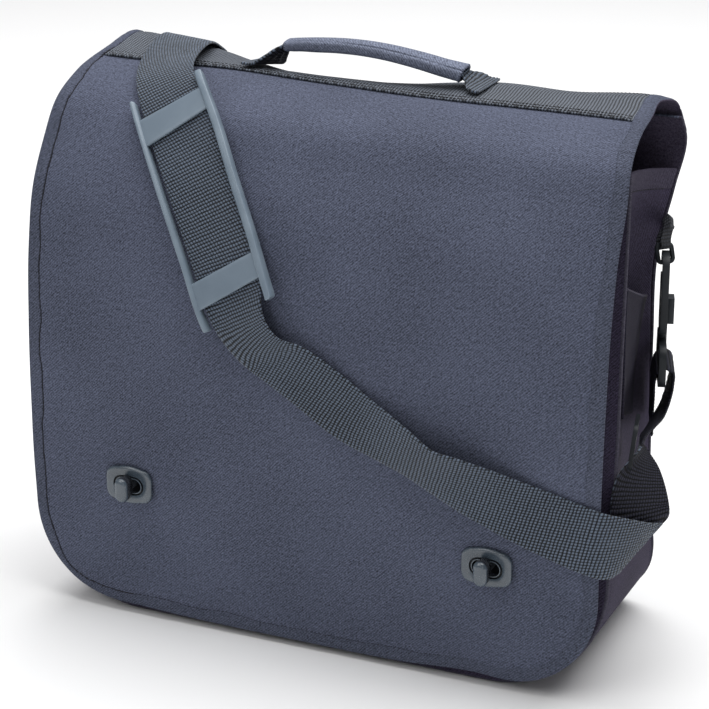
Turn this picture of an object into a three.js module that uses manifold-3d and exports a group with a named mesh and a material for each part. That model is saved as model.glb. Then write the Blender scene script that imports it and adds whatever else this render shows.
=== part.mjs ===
// Messenger-style tool bag: woven cloth body and flap, webbing strap and handle, moulded plastic fittings.
// Millimetres, +Z up, front of the bag at -Y. The origin is at the middle of the underside.
import * as THREE from "three";
import { mergeVertices } from "three/addons/utils/BufferGeometryUtils.js";
import Module from "manifold-3d";

// ---------------------------------------------------------------- driving dimensions
const CLOTH = 2.0; // cloth wall
const WEBBING = 1.8; // strap webbing
const STRAP_WIDTH = 40;
const FLAP_HALF_WIDTH = 200;
const FLAP_CORNER = 66; // radius of the flap's lower corners
const FRONT_CORNER = 76,
  BACK_CORNER = 60; // radius of the panels' lower corners
const GAP = 0.4; // between neighbouring pieces
const BAND_WIDTH = 54; // webbing band along the top
const LOCK = { plateW: 34, plateH: 26.5, plateT: 2.6, slotW: 18.2, slotH: 9.6, knobW: 9.6, knobH: 17, knobT: 11, postR: 3.4 };
const LOCKS = { left: [-124.8, 97], right: [128.6, 85.5] }; // x, z of the two turn-locks
const HOOK = { centre: [200, 33], turn: 19.3, thick: 4.6, top: 266.4, shank: 213.4, loopTop: 210.4, loopBottom: 182.7, loopHalf: 24.5 };
const LATCH_TRAVEL = 8;
const PAD = { shift: 6.5, left: [-22.3, -25.6], right: [22.6, 28.0], height: 5.4 }; // shoulder frame: its place along the strap, its rails beside it
// Outward shift of its right rail, which is straighter than the strap. columns: place from its lower bar, shift
const PAD_BOW = [
  [-14, 3.8],
  [0, 3.4],
  [25, 2.5],
  [60, 1.5],
  [116, 1.3],
  [141, -0.6],
  [156, -1.4],
];
const SLUMP = { depth: 25, at: -35, spread: 90, right: 4.5 }; // sag of the top's rear edge, in the middle and near the right end

// Flap, from its lower edge at the front, up, over the top and down to its hem on the back.
// columns: left edge y, left edge z, right edge x, right edge y, right edge z
const FLAP = [
  [-80, 5, 200, -80, 5],
  [-79, 58, 200, -79, 58],
  [-81, 129, 200, -81, 129],
  [-79, 200, 200, -79, 200],
  [-74, 253, 200, -74, 253],
  [-66, 289, 200, -66, 289],
  [-50, 317, 199.5, -52, 317],
  [-34, 338, 197.4, -40, 337],
  [-6, 352, 193.8, -14, 349.7],
  [34, 359.5, 191, 20, 356],
  [70, 363, 188.6, 52, 359],
  [80, 357, 192, 67, 355],
  [82, 340, 196, 75, 341],
];
// Front panel. columns: z, half width, y at the side edges, y in the middle
const FRONT = [
  [1, 203, -71, -73],
  [60, 203, -69, -72.5],
  [100, 203, -66, -72.5],
  [160, 203, -60, -71],
  [230, 202, -55, -64],
  [290, 198, -40, -49],
  [330, 194, -26, -29],
];
// Back panel. columns: z, half width, y at the left edge, y at the right edge, y in the middle
const BACK = [
  [1, 200, 76, 76, 78],
  [60, 191, 72, 62, 79],
  [150, 187.5, 69, 57, 79],
  [200, 187, 68, 55, 79],
  [265, 188, 70, 57, 78],
  [300, 193.5, 74.5, 67.2, 79],
  [334, 198, 78.4, 71.8, 79.2],
  [346, 196, 75.4, 66.8, 75.2],
];
// Inward fold of the side gussets. columns: z, depth
const FOLD = [
  [1, 0],
  [60, 0],
  [120, 4],
  [200, 11],
  [265, 17],
  [300, 12],
  [330, 7],
];
const GUSSET_TOP_FRONT = 330,
  GUSSET_TOP_BACK = 311;
// Shoulder strap, two edges of the webbing in a row per section, from the right hook to the left hook.
// columns: first edge x, y, z, second edge x, y, z
const RUN = [
  [203.4, -83.9, 136.2, 197.8, -92.8, 95.7],
  [192.1, -83.8, 137.9, 177.4, -92.1, 100.5],
  [174.2, -84.5, 142.4, 157.3, -90.9, 105.5],
  [144.0, -89.2, 151.0, 120.0, -88.9, 117.8],
  [112.0, -97.2, 160.6, 88.7, -86.0, 131.0],
  [98.0, -99.4, 163.7, 72.5, -86.0, 139.1],
  [79.2, -95.9, 173.6, 52.9, -86.0, 146.1],
  [53.6, -88.9, 185.7, 23.3, -87.5, 158.5],
  [28.7, -87.2, 201.5, -4.8, -88.4, 175.9],
  [4.1, -89.8, 215.4, -28.8, -88.4, 190.8],
  [-9.1, -94.2, 219.6, -40.0, -88.4, 198.6],
  [-17.9, -93.9, 228.1, -49.5, -88.4, 207.4],
  [-24.8, -88.9, 241.5, -57.8, -88.9, 219.3],
  [-43.0, -76.1, 278.3, -77.2, -80.8, 257.4],
  [-74.2, -52.1, 327.2, -106.1, -62.3, 305.7],
  [-90.4, -36.5, 350.0, -122.8, -49.1, 327.5],
  [-106.3, -16.6, 364.6, -144.2, -24.0, 353.4],
  [-119.1, 16.9, 367.2, -159.6, 14.7, 363.4],
  [-127.4, 54.6, 365.4, -167.6, 58.0, 367.6],
];
// columns: centre x, y, z, direction of the width x, y, z, half width (gathered a little under the slide)
const RIGHT_END = [
  [195.7, 31.5, 150, -0.33, 0.944, 0, 20],
  [195.7, 31.5, 166, -0.33, 0.944, 0, 20],
  [195.7, 31.5, 177, -0.33, 0.944, 0, 20],
  [195.9, 31.6, 187, -0.33, 0.944, 0, 20],
  [197.8, 32.2, 192.9, -0.33, 0.944, 0, 20],
  [202.4, 33.8, 195.4, -0.33, 0.944, 0, 20],
  [206.6, 35.2, 192.5, -0.33, 0.944, 0, 20],
  [207.4, 33.7, 186, -0.33, 0.944, 0, 20],
  [207.2, 30, 177, -0.32, 0.94, -0.02, 20],
  [206.4, 22.5, 167.8, -0.3, 0.94, -0.06, 20],
  [205.6, 6, 163.8, -0.28, 0.94, -0.15, 19.5],
  [205.8, -12, 162.2, -0.26, 0.94, -0.2, 18],
  [207.4, -29, 160.5, -0.26, 0.945, -0.2, 18],
  [212, -45, 149, 0.4, 0.88, -0.15, 19],
  [216.5, -54, 130, 0.7, 0.71, 0, 20],
];
// columns: first edge x, y, z, second edge x, y, z (the turned fold at the lower right)
const TURN = [
  [229.5, -42, 119.5, 209.5, -73, 92],
  [226.5, -52.5, 124, 208, -80, 89.5],
  [216, -71.5, 131, 205, -87.5, 91.5],
];
const LEFT_END = [
  [-150.8, 71.5, 361.2, 0.99, -0.07, -0.1, 20],
  [-153, 85, 354.5, 0.97, 0, -0.2, 20],
  [-157, 93.2, 347.5, 0.955, 0, -0.3, 20],
  [-161.3, 96.8, 337.4, 0.955, 0, -0.3, 20],
  [-162.7, 96.0, 332.8, 0.955, 0, -0.3, 20],
  [-163.4, 92.5, 330.9, 0.955, 0, -0.3, 20],
  [-162.7, 89.0, 332.8, 0.955, 0, -0.3, 20],
  [-161.3, 88.2, 337.4, 0.955, 0, -0.3, 20],
  [-158.0, 88.6, 347, 0.955, 0, -0.3, 20],
];

// Carry handle: wide feet sewn on the band, gathered to a narrow strip inside the grip.
// columns: x, y, z, webbing width, lean of the width in x, lean of the width in z
const HANDLE = [
  [-90, 35.4, 360.6, 33, 0.1, -0.14],
  [-82.5, 35.4, 360.0, 33, 0.18, -0.17],
  [-77.6, 35.3, 360.8, 32, 0.24, -0.18],
  [-74.6, 35, 363.2, 28, 0.21, -0.18],
  [-71.4, 34.8, 366.7, 22, 0.2, -0.15],
  [-68.1, 34.2, 370.3, 16.5, 0.15, -0.1],
  [-63.5, 33.8, 373.8, 13, 0, 0],
  [-54, 33.5, 375.4, 12, 0, 0],
  [-39.3, 33.2, 376.6, 12, 0, 0],
  [-21.3, 33, 377.6, 12, 0, 0],
  [3.6, 32.6, 376.8, 12, 0, 0],
  [28.9, 32.2, 373.7, 12, 0, 0],
  [45.6, 32, 370.9, 12, 0, 0],
  [56, 32, 369.2, 12, 0, 0],
  [62, 32.3, 368, 13.2, 0, 0],
  [68.6, 33, 364.4, 27, 0.06, 0.05],
  [72.6, 33, 362.1, 36, 0, 0],
  [75.4, 33, 361.5, 38, 0, 0],
  [79, 33, 361.3, 38, 0, 0],
];
const GRIP = { from: 0.347, to: 0.778, width: 15.5, height: 8, grow: 0.34, holeW: 13.2, holeH: 3.6 };

// ---------------------------------------------------------------- helpers
const V = (x, y, z) => new THREE.Vector3(x, y, z);
const clamp = (t, a = 0, b = 1) => Math.min(b, Math.max(a, t));
const smooth = (t) => ((t = clamp(t)), t * t * (3 - 2 * t));

// Smooth curve through table rows at the given knots (non-uniform cubic, straight past the ends).
function through(rows, knots) {
  const n = rows.length;
  const slope = rows.map((r, i) =>
    r.map((_, c) => {
      const back = i ? (r[c] - rows[i - 1][c]) / (knots[i] - knots[i - 1]) : null;
      const ahead = i < n - 1 ? (rows[i + 1][c] - r[c]) / (knots[i + 1] - knots[i]) : null;
      if (back === null) return ahead;
      if (ahead === null) return back;
      const wa = knots[i + 1] - knots[i],
        wb = knots[i] - knots[i - 1];
      return (back * wa + ahead * wb) / (wa + wb);
    }),
  );
  return (t) => {
    t = clamp(t, knots[0], knots[n - 1]);
    let i = 0;
    while (i < n - 2 && t > knots[i + 1]) i++;
    const h = knots[i + 1] - knots[i],
      s = (t - knots[i]) / h,
      s2 = s * s,
      s3 = s2 * s;
    return rows[i].map(
      (a, c) =>
        (2 * s3 - 3 * s2 + 1) * a +
        (s3 - 2 * s2 + s) * h * slope[i][c] +
        (-2 * s3 + 3 * s2) * rows[i + 1][c] +
        (s3 - s2) * h * slope[i + 1][c],
    );
  };
}
const byFirst = (rows) => through(rows.map((r) => r.slice(1)), rows.map((r) => r[0]));

function geometryOf(points, faces) {
  const g = new THREE.BufferGeometry();
  g.setAttribute("position", new THREE.Float32BufferAttribute(points.flatMap((p) => [p.x, p.y, p.z]), 3));
  let v = 0;
  const a = V(),
    b = V();
  for (const [i, j, k] of faces) v += points[i].dot(a.copy(points[j]).cross(b.copy(points[k])));
  g.setIndex(v < 0 ? faces.flatMap(([i, j, k]) => [i, k, j]) : faces.flat());
  return g;
}

// Closed cloth sheet: a grid of middle points, thickened both ways along its normal.
function sheet(at, us, vs, thickness) {
  const nu = us.length,
    nv = vs.length,
    top = [],
    under = [];
  const grid = us.map((u) => vs.map((v) => at(u, v)));
  for (let i = 0; i < nu; i++)
    for (let j = 0; j < nv; j++) {
      const du = grid[Math.min(i + 1, nu - 1)][j].clone().sub(grid[Math.max(i - 1, 0)][j]);
      const dv = grid[i][Math.min(j + 1, nv - 1)].clone().sub(grid[i][Math.max(j - 1, 0)]);
      const n = du.cross(dv).normalize().multiplyScalar(thickness / 2);
      top.push(grid[i][j].clone().add(n));
      under.push(grid[i][j].clone().sub(n));
    }
  const points = [...top, ...under],
    N = nu * nv,
    id = (i, j) => i * nv + j,
    faces = [];
  const quad = (a, b, c, d) => faces.push([a, b, c], [a, c, d]);
  for (let i = 0; i < nu - 1; i++)
    for (let j = 0; j < nv - 1; j++) {
      quad(id(i, j), id(i + 1, j), id(i + 1, j + 1), id(i, j + 1));
      quad(N + id(i, j), N + id(i, j + 1), N + id(i + 1, j + 1), N + id(i + 1, j));
    }
  for (let i = 0; i < nu - 1; i++) {
    quad(id(i, 0), N + id(i, 0), N + id(i + 1, 0), id(i + 1, 0));
    quad(id(i, nv - 1), id(i + 1, nv - 1), N + id(i + 1, nv - 1), N + id(i, nv - 1));
  }
  for (let j = 0; j < nv - 1; j++) {
    quad(id(0, j), id(0, j + 1), N + id(0, j + 1), N + id(0, j));
    quad(id(nu - 1, j), N + id(nu - 1, j), N + id(nu - 1, j + 1), id(nu - 1, j + 1));
  }
  return geometryOf(points, faces);
}

// Loft of equal closed rings, capped at both ends, or one ring inside another when inner rings are given.
function loft(rings, inner = null) {
  const m = rings[0].length,
    points = rings.flat(),
    faces = [];
  const wall = (base, n, flip) => {
    for (let i = 0; i < n - 1; i++)
      for (let k = 0; k < m; k++) {
        const a = base + i * m + k,
          b = base + i * m + ((k + 1) % m);
        if (flip) faces.push([a, b + m, b], [a, a + m, b + m]);
        else faces.push([a, b, b + m], [a, b + m, a + m]);
      }
  };
  const n = rings.length;
  wall(0, n, false);
  if (inner) {
    const off = points.length;
    points.push(...inner.flat());
    wall(off, n, true);
    for (let k = 0; k < m; k++) {
      const q = (k + 1) % m,
        e = (n - 1) * m;
      faces.push([k, off + q, q], [k, off + k, off + q]);
      faces.push([e + k, e + q, off + e + q], [e + k, off + e + q, off + e + k]);
    }
  } else
    for (let k = 1; k < m - 1; k++) {
      faces.push([0, k + 1, k]);
      faces.push([(n - 1) * m, (n - 1) * m + k, (n - 1) * m + k + 1]);
    }
  return geometryOf(points, faces);
}

const wasm = await Module();
wasm.setup();
function solid(g) {
  g = g.index ? g.toNonIndexed() : g.clone();
  for (const k of Object.keys(g.attributes)) if (k !== "position") g.deleteAttribute(k);
  const m = mergeVertices(g, 1e-4);
  return new wasm.Manifold(
    new wasm.Mesh({ numProp: 3, vertProperties: new Float32Array(m.attributes.position.array), triVerts: new Uint32Array(m.index.array) }),
  );
}
function geometryFrom(s) {
  const m = s.getMesh(),
    g = new THREE.BufferGeometry();
  const p = new Float32Array(m.numVert * 3);
  for (let i = 0; i < m.numVert; i++) for (let k = 0; k < 3; k++) p[i * 3 + k] = m.vertProperties[i * m.numProp + k];
  g.setAttribute("position", new THREE.BufferAttribute(p, 3));
  g.setIndex(new THREE.BufferAttribute(new Uint32Array(m.triVerts), 1));
  return g;
}

const bag = new THREE.Group();
const FINISH = {
  cloth: { color: 0x454a58, roughness: 0.9, metalness: 0 },
  webbing: { color: 0x3f464b, roughness: 0.85, metalness: 0 },
  plastic: { color: 0x6d7c85, roughness: 0.45, metalness: 0 },
  darkPlastic: { color: 0x3c4145, roughness: 0.4, metalness: 0 },
};
function add(name, geometry, finish, parent = bag) {
  const mesh = new THREE.Mesh(geometry, new THREE.MeshStandardMaterial(FINISH[finish]));
  mesh.name = name;
  parent.add(mesh);
  return mesh;
}
const steps = (a, b, n) => Array.from({ length: n + 1 }, (_, i) => a + ((b - a) * i) / n);

// ---------------------------------------------------------------- flap
const flapKnots = FLAP.reduce((k, r, i) => {
  if (!i) return [0];
  const p = FLAP[i - 1];
  const l = Math.hypot(r[0] - p[0], r[1] - p[1]),
    q = Math.hypot(r[2] - p[2], r[3] - p[3], r[4] - p[4]);
  return [...k, k[i - 1] + (l + q) / 2];
}, []);
const FLAP_LENGTH = flapKnots[flapKnots.length - 1];
const flapRow = through(FLAP, flapKnots);
// The empty bag's top sinks towards the back in the middle.
const slump = (x) => SLUMP.depth * Math.exp(-(((x - SLUMP.at) / SLUMP.spread) ** 2)) + SLUMP.right * Math.exp(-(((x - 125) / 35) ** 2));
// u: -1 at the left edge to 1 at the right, s: distance up from the lower edge
function flapPoint(u, s) {
  const [yl, zl, xr, yr, zr] = flapRow(s),
    k = (u + 1) / 2;
  const r = FLAP_CORNER,
    narrow = s < r ? (FLAP_HALF_WIDTH - r + Math.sqrt(r * r - (r - s) * (r - s))) / FLAP_HALF_WIDTH : 1;
  const x = (-FLAP_HALF_WIDTH * (1 - k) + xr * k) * narrow;
  const crown = 1 - u * u;
  const belly = 3.5 * crown * smooth(s / 120) * smooth((330 - s) / 120);
  const hang = (2.4 * Math.exp(-(((x + 140) / 50) ** 2)) + 4 * Math.exp(-(((x - 118) / 36) ** 2))) * clamp(1 - s / 70) ** 2;
  const dip = slump(x) * smooth((s - 396) / 60);
  const hem = 4.5 * crown * smooth((s - FLAP_LENGTH + 26) / 18);
  return V(x, yl * (1 - k) + yr * k - belly + hem, zl * (1 - k) + zr * k + hang - dip);
}
const flapRows = [...steps(0, Math.PI / 2, 6).map((a) => FLAP_CORNER * (1 - Math.cos(a))), ...steps(FLAP_CORNER, 290, 7).slice(1), ...steps(290, FLAP_LENGTH, 15).slice(1)];
let flap = solid(sheet(flapPoint, steps(-1, 1, 22), flapRows, CLOTH));

// ---------------------------------------------------------------- turn-locks
function stadium(w, h) {
  const s = new THREE.Shape(),
    r = Math.min(w, h) / 2,
    a = Math.max(w, h) / 2 - r;
  if (w >= h) {
    s.absarc(a, 0, r, -Math.PI / 2, Math.PI / 2, false);
    s.absarc(-a, 0, r, Math.PI / 2, (3 * Math.PI) / 2, false);
  } else {
    s.absarc(0, a, r, 0, Math.PI, false);
    s.absarc(0, -a, r, Math.PI, 2 * Math.PI, false);
  }
  s.closePath();
  return s;
}
// Rounded plate with its upper and lower edges bowed out.
function plateShape(w, h, r, bow) {
  const s = new THREE.Shape();
  s.moveTo(-w / 2, -h / 2 + r + bow);
  s.quadraticCurveTo(-w / 2, -h / 2 + bow, -w / 2 + r, -h / 2 + bow * 0.8);
  s.quadraticCurveTo(0, -h / 2 - bow * 0.6, w / 2 - r, -h / 2 + bow * 0.8);
  s.quadraticCurveTo(w / 2, -h / 2 + bow, w / 2, -h / 2 + r + bow);
  s.lineTo(w / 2, h / 2 - r - bow);
  s.quadraticCurveTo(w / 2, h / 2 - bow, w / 2 - r, h / 2 - bow * 0.8);
  s.quadraticCurveTo(0, h / 2 + bow * 0.6, -w / 2 + r, h / 2 - bow * 0.8);
  s.quadraticCurveTo(-w / 2, h / 2 - bow, -w / 2, h / 2 - r - bow);
  s.closePath();
  return s;
}
// A flat outline in x and z, standing from y = back to y = front (front is the smaller).
function plate(shape, back, front, segments = 6) {
  const g = new THREE.ExtrudeGeometry(shape, { depth: back - front, bevelEnabled: false, curveSegments: segments });
  g.rotateX(Math.PI / 2);
  g.translate(0, back, 0);
  return g;
}
const frontRow = byFirst(FRONT);
const backRow = byFirst(BACK);
const frontY = (x, z) => {
  const [hw, edge, mid] = frontRow(z);
  return mid + (edge - mid) * Math.min(1, Math.abs(x / hw)) ** 4;
};
const backY = (x, z) => {
  const [hw, left, right, mid] = backRow(z);
  return mid + ((x < 0 ? left : right) - mid) * Math.min(1, Math.abs(x / hw)) ** 4;
};
for (const [side, [x, z]] of Object.entries(LOCKS)) {
  // outermost level of the flap under the plate
  const skin = Math.min(...[-1, 0, 1].flatMap((i) => [-1, 0, 1].map((j) => flapPoint((x + (i * LOCK.plateW) / 2) / FLAP_HALF_WIDTH, z - 5 + (j * LOCK.plateH) / 2).y))) - CLOTH / 2;
  const wall = frontY(x, z) - CLOTH / 2; // outer face of the front panel
  const place = (g) => g.translate(x, 0, z);
  const back = skin - GAP,
    face = back - LOCK.plateT;
  const ring = plateShape(LOCK.plateW, LOCK.plateH, 5, 1.8);
  ring.holes.push(stadium(LOCK.slotW, LOCK.slotH));
  add("lock_plate_" + side, place(plate(ring, back, face)), "plastic");
  const post = new THREE.CylinderGeometry(LOCK.postR, LOCK.postR, 1, 16);
  const end = face - 0.4,
    foot = wall - 0.7;
  const baseTop = foot - 1.6;
  post.scale(1, baseTop - end + 0.4, 1).translate(0, (baseTop + 0.4 + end) / 2, 0);
  const base = solid(plate(plateShape(30, 22, 5, 1.2), foot, baseTop)).add(solid(post));
  add("lock_base_" + side, place(geometryFrom(base)), "darkPlastic");
  add("lock_knob_" + side, place(plate(stadium(LOCK.knobW, LOCK.knobH), end - GAP, end - GAP - LOCK.knobT)), "plastic");
  flap = flap.subtract(solid(place(plate(stadium(LOCK.slotW + 1, LOCK.slotH + 1), skin + 8, skin - 6))));
}
add("flap", geometryFrom(flap), "cloth");

// ---------------------------------------------------------------- front, back and gusset
const corner = (hw, z, r) => (z < r + 1 ? hw - r + Math.sqrt(Math.max(0, r * r - (r + 1 - z) ** 2)) : hw);
function panel(row, yAt, r, top, sag = () => 0, lowZ = 1.2) {
  const zs = [...steps(0, Math.PI / 2, 5).map((a) => lowZ + (r - 0.2) * (1 - Math.cos(a))), ...steps(r + 1, top, 10).slice(1)];
  return sheet(
    (u, z) => {
      const x = u * corner(row(z)[0], z, r);
      return V(x, yAt(x, z), z - sag(x) * smooth((z - 180) / 165));
    },
    [-1, -0.94, -0.85, -0.7, -0.5, -0.25, 0, 0.25, 0.5, 0.7, 0.85, 0.94, 1],
    zs,
    CLOTH,
  );
}
add("front_panel", panel(frontRow, frontY, FRONT_CORNER, 328), "cloth");
add("back_panel", panel(backRow, backY, BACK_CORNER, 345, slump), "cloth");

const foldRow = byFirst(FOLD);
const SEAM = CLOTH / 2 + 0.7;
// t: 0 at the upper edge of a side, 1 where the corner begins, 2 at the corner's end, 3 in the middle of the bottom
function gussetPoint(side, t, s) {
  const edge = (row, yAt, r, top, sign) => {
    let x, z;
    if (t <= 1) {
      z = top + (r + 1 - top) * t;
      x = row(z)[0] - 1.3;
    } else if (t <= 2) {
      const a = ((t - 1) * Math.PI) / 2;
      z = r + 1 - r * Math.sin(a);
      x = row(z)[0] - r + (r - 1.3) * Math.cos(a);
    } else {
      x = (row(1)[0] - r) * (3 - t);
      z = 1;
    }
    return V(side * x, yAt(side * (t < 2 ? x + 1.3 : x), z) + sign * SEAM, z);
  };
  const p = edge(frontRow, frontY, FRONT_CORNER, GUSSET_TOP_FRONT, 1).lerp(edge(backRow, backY, BACK_CORNER, GUSSET_TOP_BACK, -1), s);
  const fold = t < 1 ? foldRow(p.z)[0] * 4 * s * (1 - s) * (0.75 + 0.5 * s) : 0;
  p.x -= side * fold;
  return p;
}
const gussetRows = [...steps(0, 1, 10), ...steps(1, 2, 6).slice(1), 2.35, 2.7, 3];
const gussetPath = [...gussetRows.map((t) => [1, t]), ...gussetRows.slice(0, -1).reverse().map((t) => [-1, t])];
add("gusset", sheet((i, s) => gussetPoint(...gussetPath[i], s), gussetPath.map((_, i) => i), steps(0, 1, 7), CLOTH), "cloth");

// Small open pocket on the outside of the right gusset, standing off it most at its mouth.
function pocketPoint(a, b) {
  const s0 = 0.06,
    s1 = 0.66 + 0.27 * b,
    s = s0 + (s1 - s0) * a,
    t = 0.57 - 0.3 * b + 0.05 * a;
  const lift = V(CLOTH / 2 + 1.9, 0, 0);
  const base = gussetPoint(1, t, s).add(lift);
  const chord = gussetPoint(1, t, s0).lerp(gussetPoint(1, t, s1), a).add(lift);
  chord.x += 3 * Math.sin(Math.PI * a) * b;
  return base.lerp(chord, smooth(b / 0.4));
}
add("side_pocket", sheet(pocketPoint, steps(0, 1, 10), steps(0, 1, 8), 1.6), "cloth");

// ---------------------------------------------------------------- webbing band along the top
const bandStart = (u) => 395 + 3 * Math.exp(-(((u + 0.45) / 0.18) ** 2)) - 4 * Math.exp(-(((u - 0.25) / 0.35) ** 2)); // distance up the flap of the band's front edge
add(
  "top_webbing",
  sheet(
    (u, a) => {
      const s = bandStart(u) + a * BAND_WIDTH;
      const p = flapPoint(u, s);
      const du = flapPoint(u + 0.02, s).sub(flapPoint(u - 0.02, s)),
        dv = flapPoint(u, s + 2).sub(flapPoint(u, s - 2));
      const n = du.cross(dv).normalize();
      if (n.z < 0) n.negate();
      return p.addScaledVector(n, CLOTH / 2 + 0.7 + 0.7);
    },
    steps(-0.975, 0.945, 24),
    steps(0, 1, 5),
    1.4,
  ),
  "webbing",
);

// ---------------------------------------------------------------- carry handle
const handleCurve = new THREE.CatmullRomCurve3(HANDLE.map(([x, y, z]) => V(x, y, z)), false, "centripetal");
const handleWidth = through(HANDLE.map((r) => r.slice(3)), HANDLE.map((_, i) => i / (HANDLE.length - 1)));
function handleRing(t, section) {
  const [width, leanX, leanZ] = handleWidth(t);
  const c = handleCurve.getPoint(t),
    d = handleCurve.getTangent(t),
    w = V(leanX, 1, leanZ);
  w.addScaledVector(d, -w.dot(d)).normalize();
  const n = d.clone().cross(w).normalize();
  return section(width).map(([a, b]) => c.clone().addScaledVector(w, a).addScaledVector(n, b));
}
const oblong = (w, h, k = 12) =>
  Array.from({ length: k }, (_, i) => {
    const a = ((i + 0.5) / k) * 2 * Math.PI,
      c = Math.cos(a),
      s = Math.sin(a);
    return [(w / 2) * Math.sign(c) * Math.abs(c) ** 0.7, (h / 2) * Math.sign(s) * Math.abs(s) ** 0.7];
  });
const strip = (w) => [
  [-w / 2, -1],
  [w / 2, -1],
  [w / 2, 1],
  [-w / 2, 1],
];
add("handle_strap", loft(steps(0, 1, 36).map((t) => handleRing(t, strip))), "webbing");
const gripSteps = steps(GRIP.from, GRIP.to, 14);
add(
  "handle_grip",
  loft(
    gripSteps.map((t, i) => handleRing(t, () => oblong(GRIP.width * (1 + (GRIP.grow * i) / gripSteps.length), GRIP.height * (1 + (GRIP.grow * i) / gripSteps.length)))),
    gripSteps.map((t) => handleRing(t, () => oblong(GRIP.holeW * 1.12, GRIP.holeH * 1.15))),
  ),
  "cloth",
);

// ---------------------------------------------------------------- shoulder strap
const edges = (r) => {
  const w = V(r[3], r[4], r[5]).normalize().multiplyScalar(r[6]);
  return [r[0] + w.x, r[1] + w.y, r[2] + w.z, r[0] - w.x, r[1] - w.y, r[2] - w.z];
};
const strapRows = [...RIGHT_END.map(edges), ...TURN, ...RUN, ...LEFT_END.map(edges)];
const strapKnots = strapRows.reduce((k, r, i) => {
  if (!i) return [0];
  const p = strapRows[i - 1];
  return [...k, k[i - 1] + Math.max(2, Math.hypot(...[0, 1, 2].map((c) => (r[c] + r[c + 3] - p[c] - p[c + 3]) / 2)))];
}, []);
const strapAt = through(strapRows, strapKnots);
const STRAP_LENGTH = strapKnots[strapKnots.length - 1];
function strapFrame(t) {
  const r = strapAt(t),
    a = strapAt(t - 1),
    b = strapAt(t + 1);
  const mid = (q) => V((q[0] + q[3]) / 2, (q[1] + q[4]) / 2, (q[2] + q[5]) / 2);
  const half = V(r[0] - r[3], r[1] - r[4], r[2] - r[5]).multiplyScalar(0.5);
  half.clampLength(0, STRAP_WIDTH / 2);
  const d = mid(b).sub(mid(a)).normalize();
  return { c: mid(r), half, d, n: half.clone().cross(d).normalize() };
}
const strapSteps = strapKnots.flatMap((k, i) => {
  if (!i) return [k];
  const n = Math.max(1, Math.round((k - strapKnots[i - 1]) / 14));
  return steps(strapKnots[i - 1], k, n).slice(1);
});
add(
  "shoulder_strap",
  loft(
    strapSteps.map((t) => {
      const { c, half, n } = strapFrame(t);
      const up = n.clone().multiplyScalar(WEBBING / 2);
      return [c.clone().add(half).add(up), c.clone().add(half).sub(up), c.clone().sub(half).sub(up), c.clone().sub(half).add(up)];
    }),
  ),
  "webbing",
);

// Shoulder frame: two rails beside the webbing and two bars across its outer face.
const strapKnotOf = (x, y, z) => {
  let best = 0,
    near = Infinity;
  for (let t = 0; t <= STRAP_LENGTH; t += 0.5) {
    const e = strapFrame(t).c.distanceTo(V(x, y, z));
    if (e < near) [near, best] = [e, t];
  }
  return best;
};
const padLow = strapKnotOf(-45, -88, 231) + PAD.shift,
  padHigh = strapKnotOf(-112, -42, 340) + PAD.shift;
function padRing(t, a0, a1, b0, b1) {
  const { c, half, n } = strapFrame(t),
    w = half.clone().normalize(),
    out = n.y < 0 ? n : n.clone().negate();
  return [
    [a0, b0],
    [a1, b0],
    [a1, b1],
    [a0, b1],
  ].map(([a, b]) => c.clone().addScaledVector(w, a).addScaledVector(out, b));
}
const bowAt = through(PAD_BOW.map((r) => r.slice(1)), PAD_BOW.map((r) => r[0]));
const rail = ([a0, a1], from, to, bow) => solid(loft(steps(from, to, 12).map((t) => padRing(t, a0 + bow * bowAt(t - padLow)[0], a1 + bow * bowAt(t - padLow)[0], -1.4, PAD.height))));
const bar = (from, to) => solid(loft(steps(from, to, 3).map((t) => padRing(t, PAD.left[0] - 1.5, PAD.right[0] + bowAt(t - padLow)[0] + 1.5, 1.7, 3.9))));
add("shoulder_pad", geometryFrom(rail(PAD.right, padLow - 12, padHigh + 15, 1).add(rail(PAD.left, padLow - 11, padHigh + 10, 0)).add(bar(padLow + 3, padLow + 20)).add(bar(padHigh - 20, padHigh - 2))), "plastic");

// ---------------------------------------------------------------- rings, tabs, hooks and slide
// A flat outline in local a (across) and b (up), thickness centred on the plane.
function slab(shape, thick, segments = 6) {
  const g = new THREE.ExtrudeGeometry(shape, { depth: thick, bevelEnabled: false, curveSegments: segments });
  g.translate(0, 0, -thick / 2);
  return g;
}
function rounded(a0, b0, a1, b1, r) {
  const s = new THREE.Shape();
  s.moveTo(a0 + r, b0);
  s.lineTo(a1 - r, b0);
  s.absarc(a1 - r, b0 + r, r, -Math.PI / 2, 0, false);
  s.lineTo(a1, b1 - r);
  s.absarc(a1 - r, b1 - r, r, 0, Math.PI / 2, false);
  s.lineTo(a0 + r, b1);
  s.absarc(a0 + r, b1 - r, r, Math.PI / 2, Math.PI, false);
  s.lineTo(a0, b0 + r);
  s.absarc(a0 + r, b0 + r, r, Math.PI, 1.5 * Math.PI, false);
  return s;
}
// Puts local (a, b, c) at a place: a along across, b along up, c along the outward normal.
function frameOf(origin, across, up) {
  const a = across.clone().normalize(),
    b = up.clone().addScaledVector(a, -up.dot(a)).normalize(),
    m = new THREE.Matrix4().makeBasis(a, b, a.clone().cross(b));
  return m.setPosition(origin);
}
const box = (a0, a1, b0, b1, c0, c1) => new THREE.BoxGeometry(a1 - a0, b1 - b0, c1 - c0).translate((a0 + a1) / 2, (b0 + b1) / 2, (c0 + c1) / 2);

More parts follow.
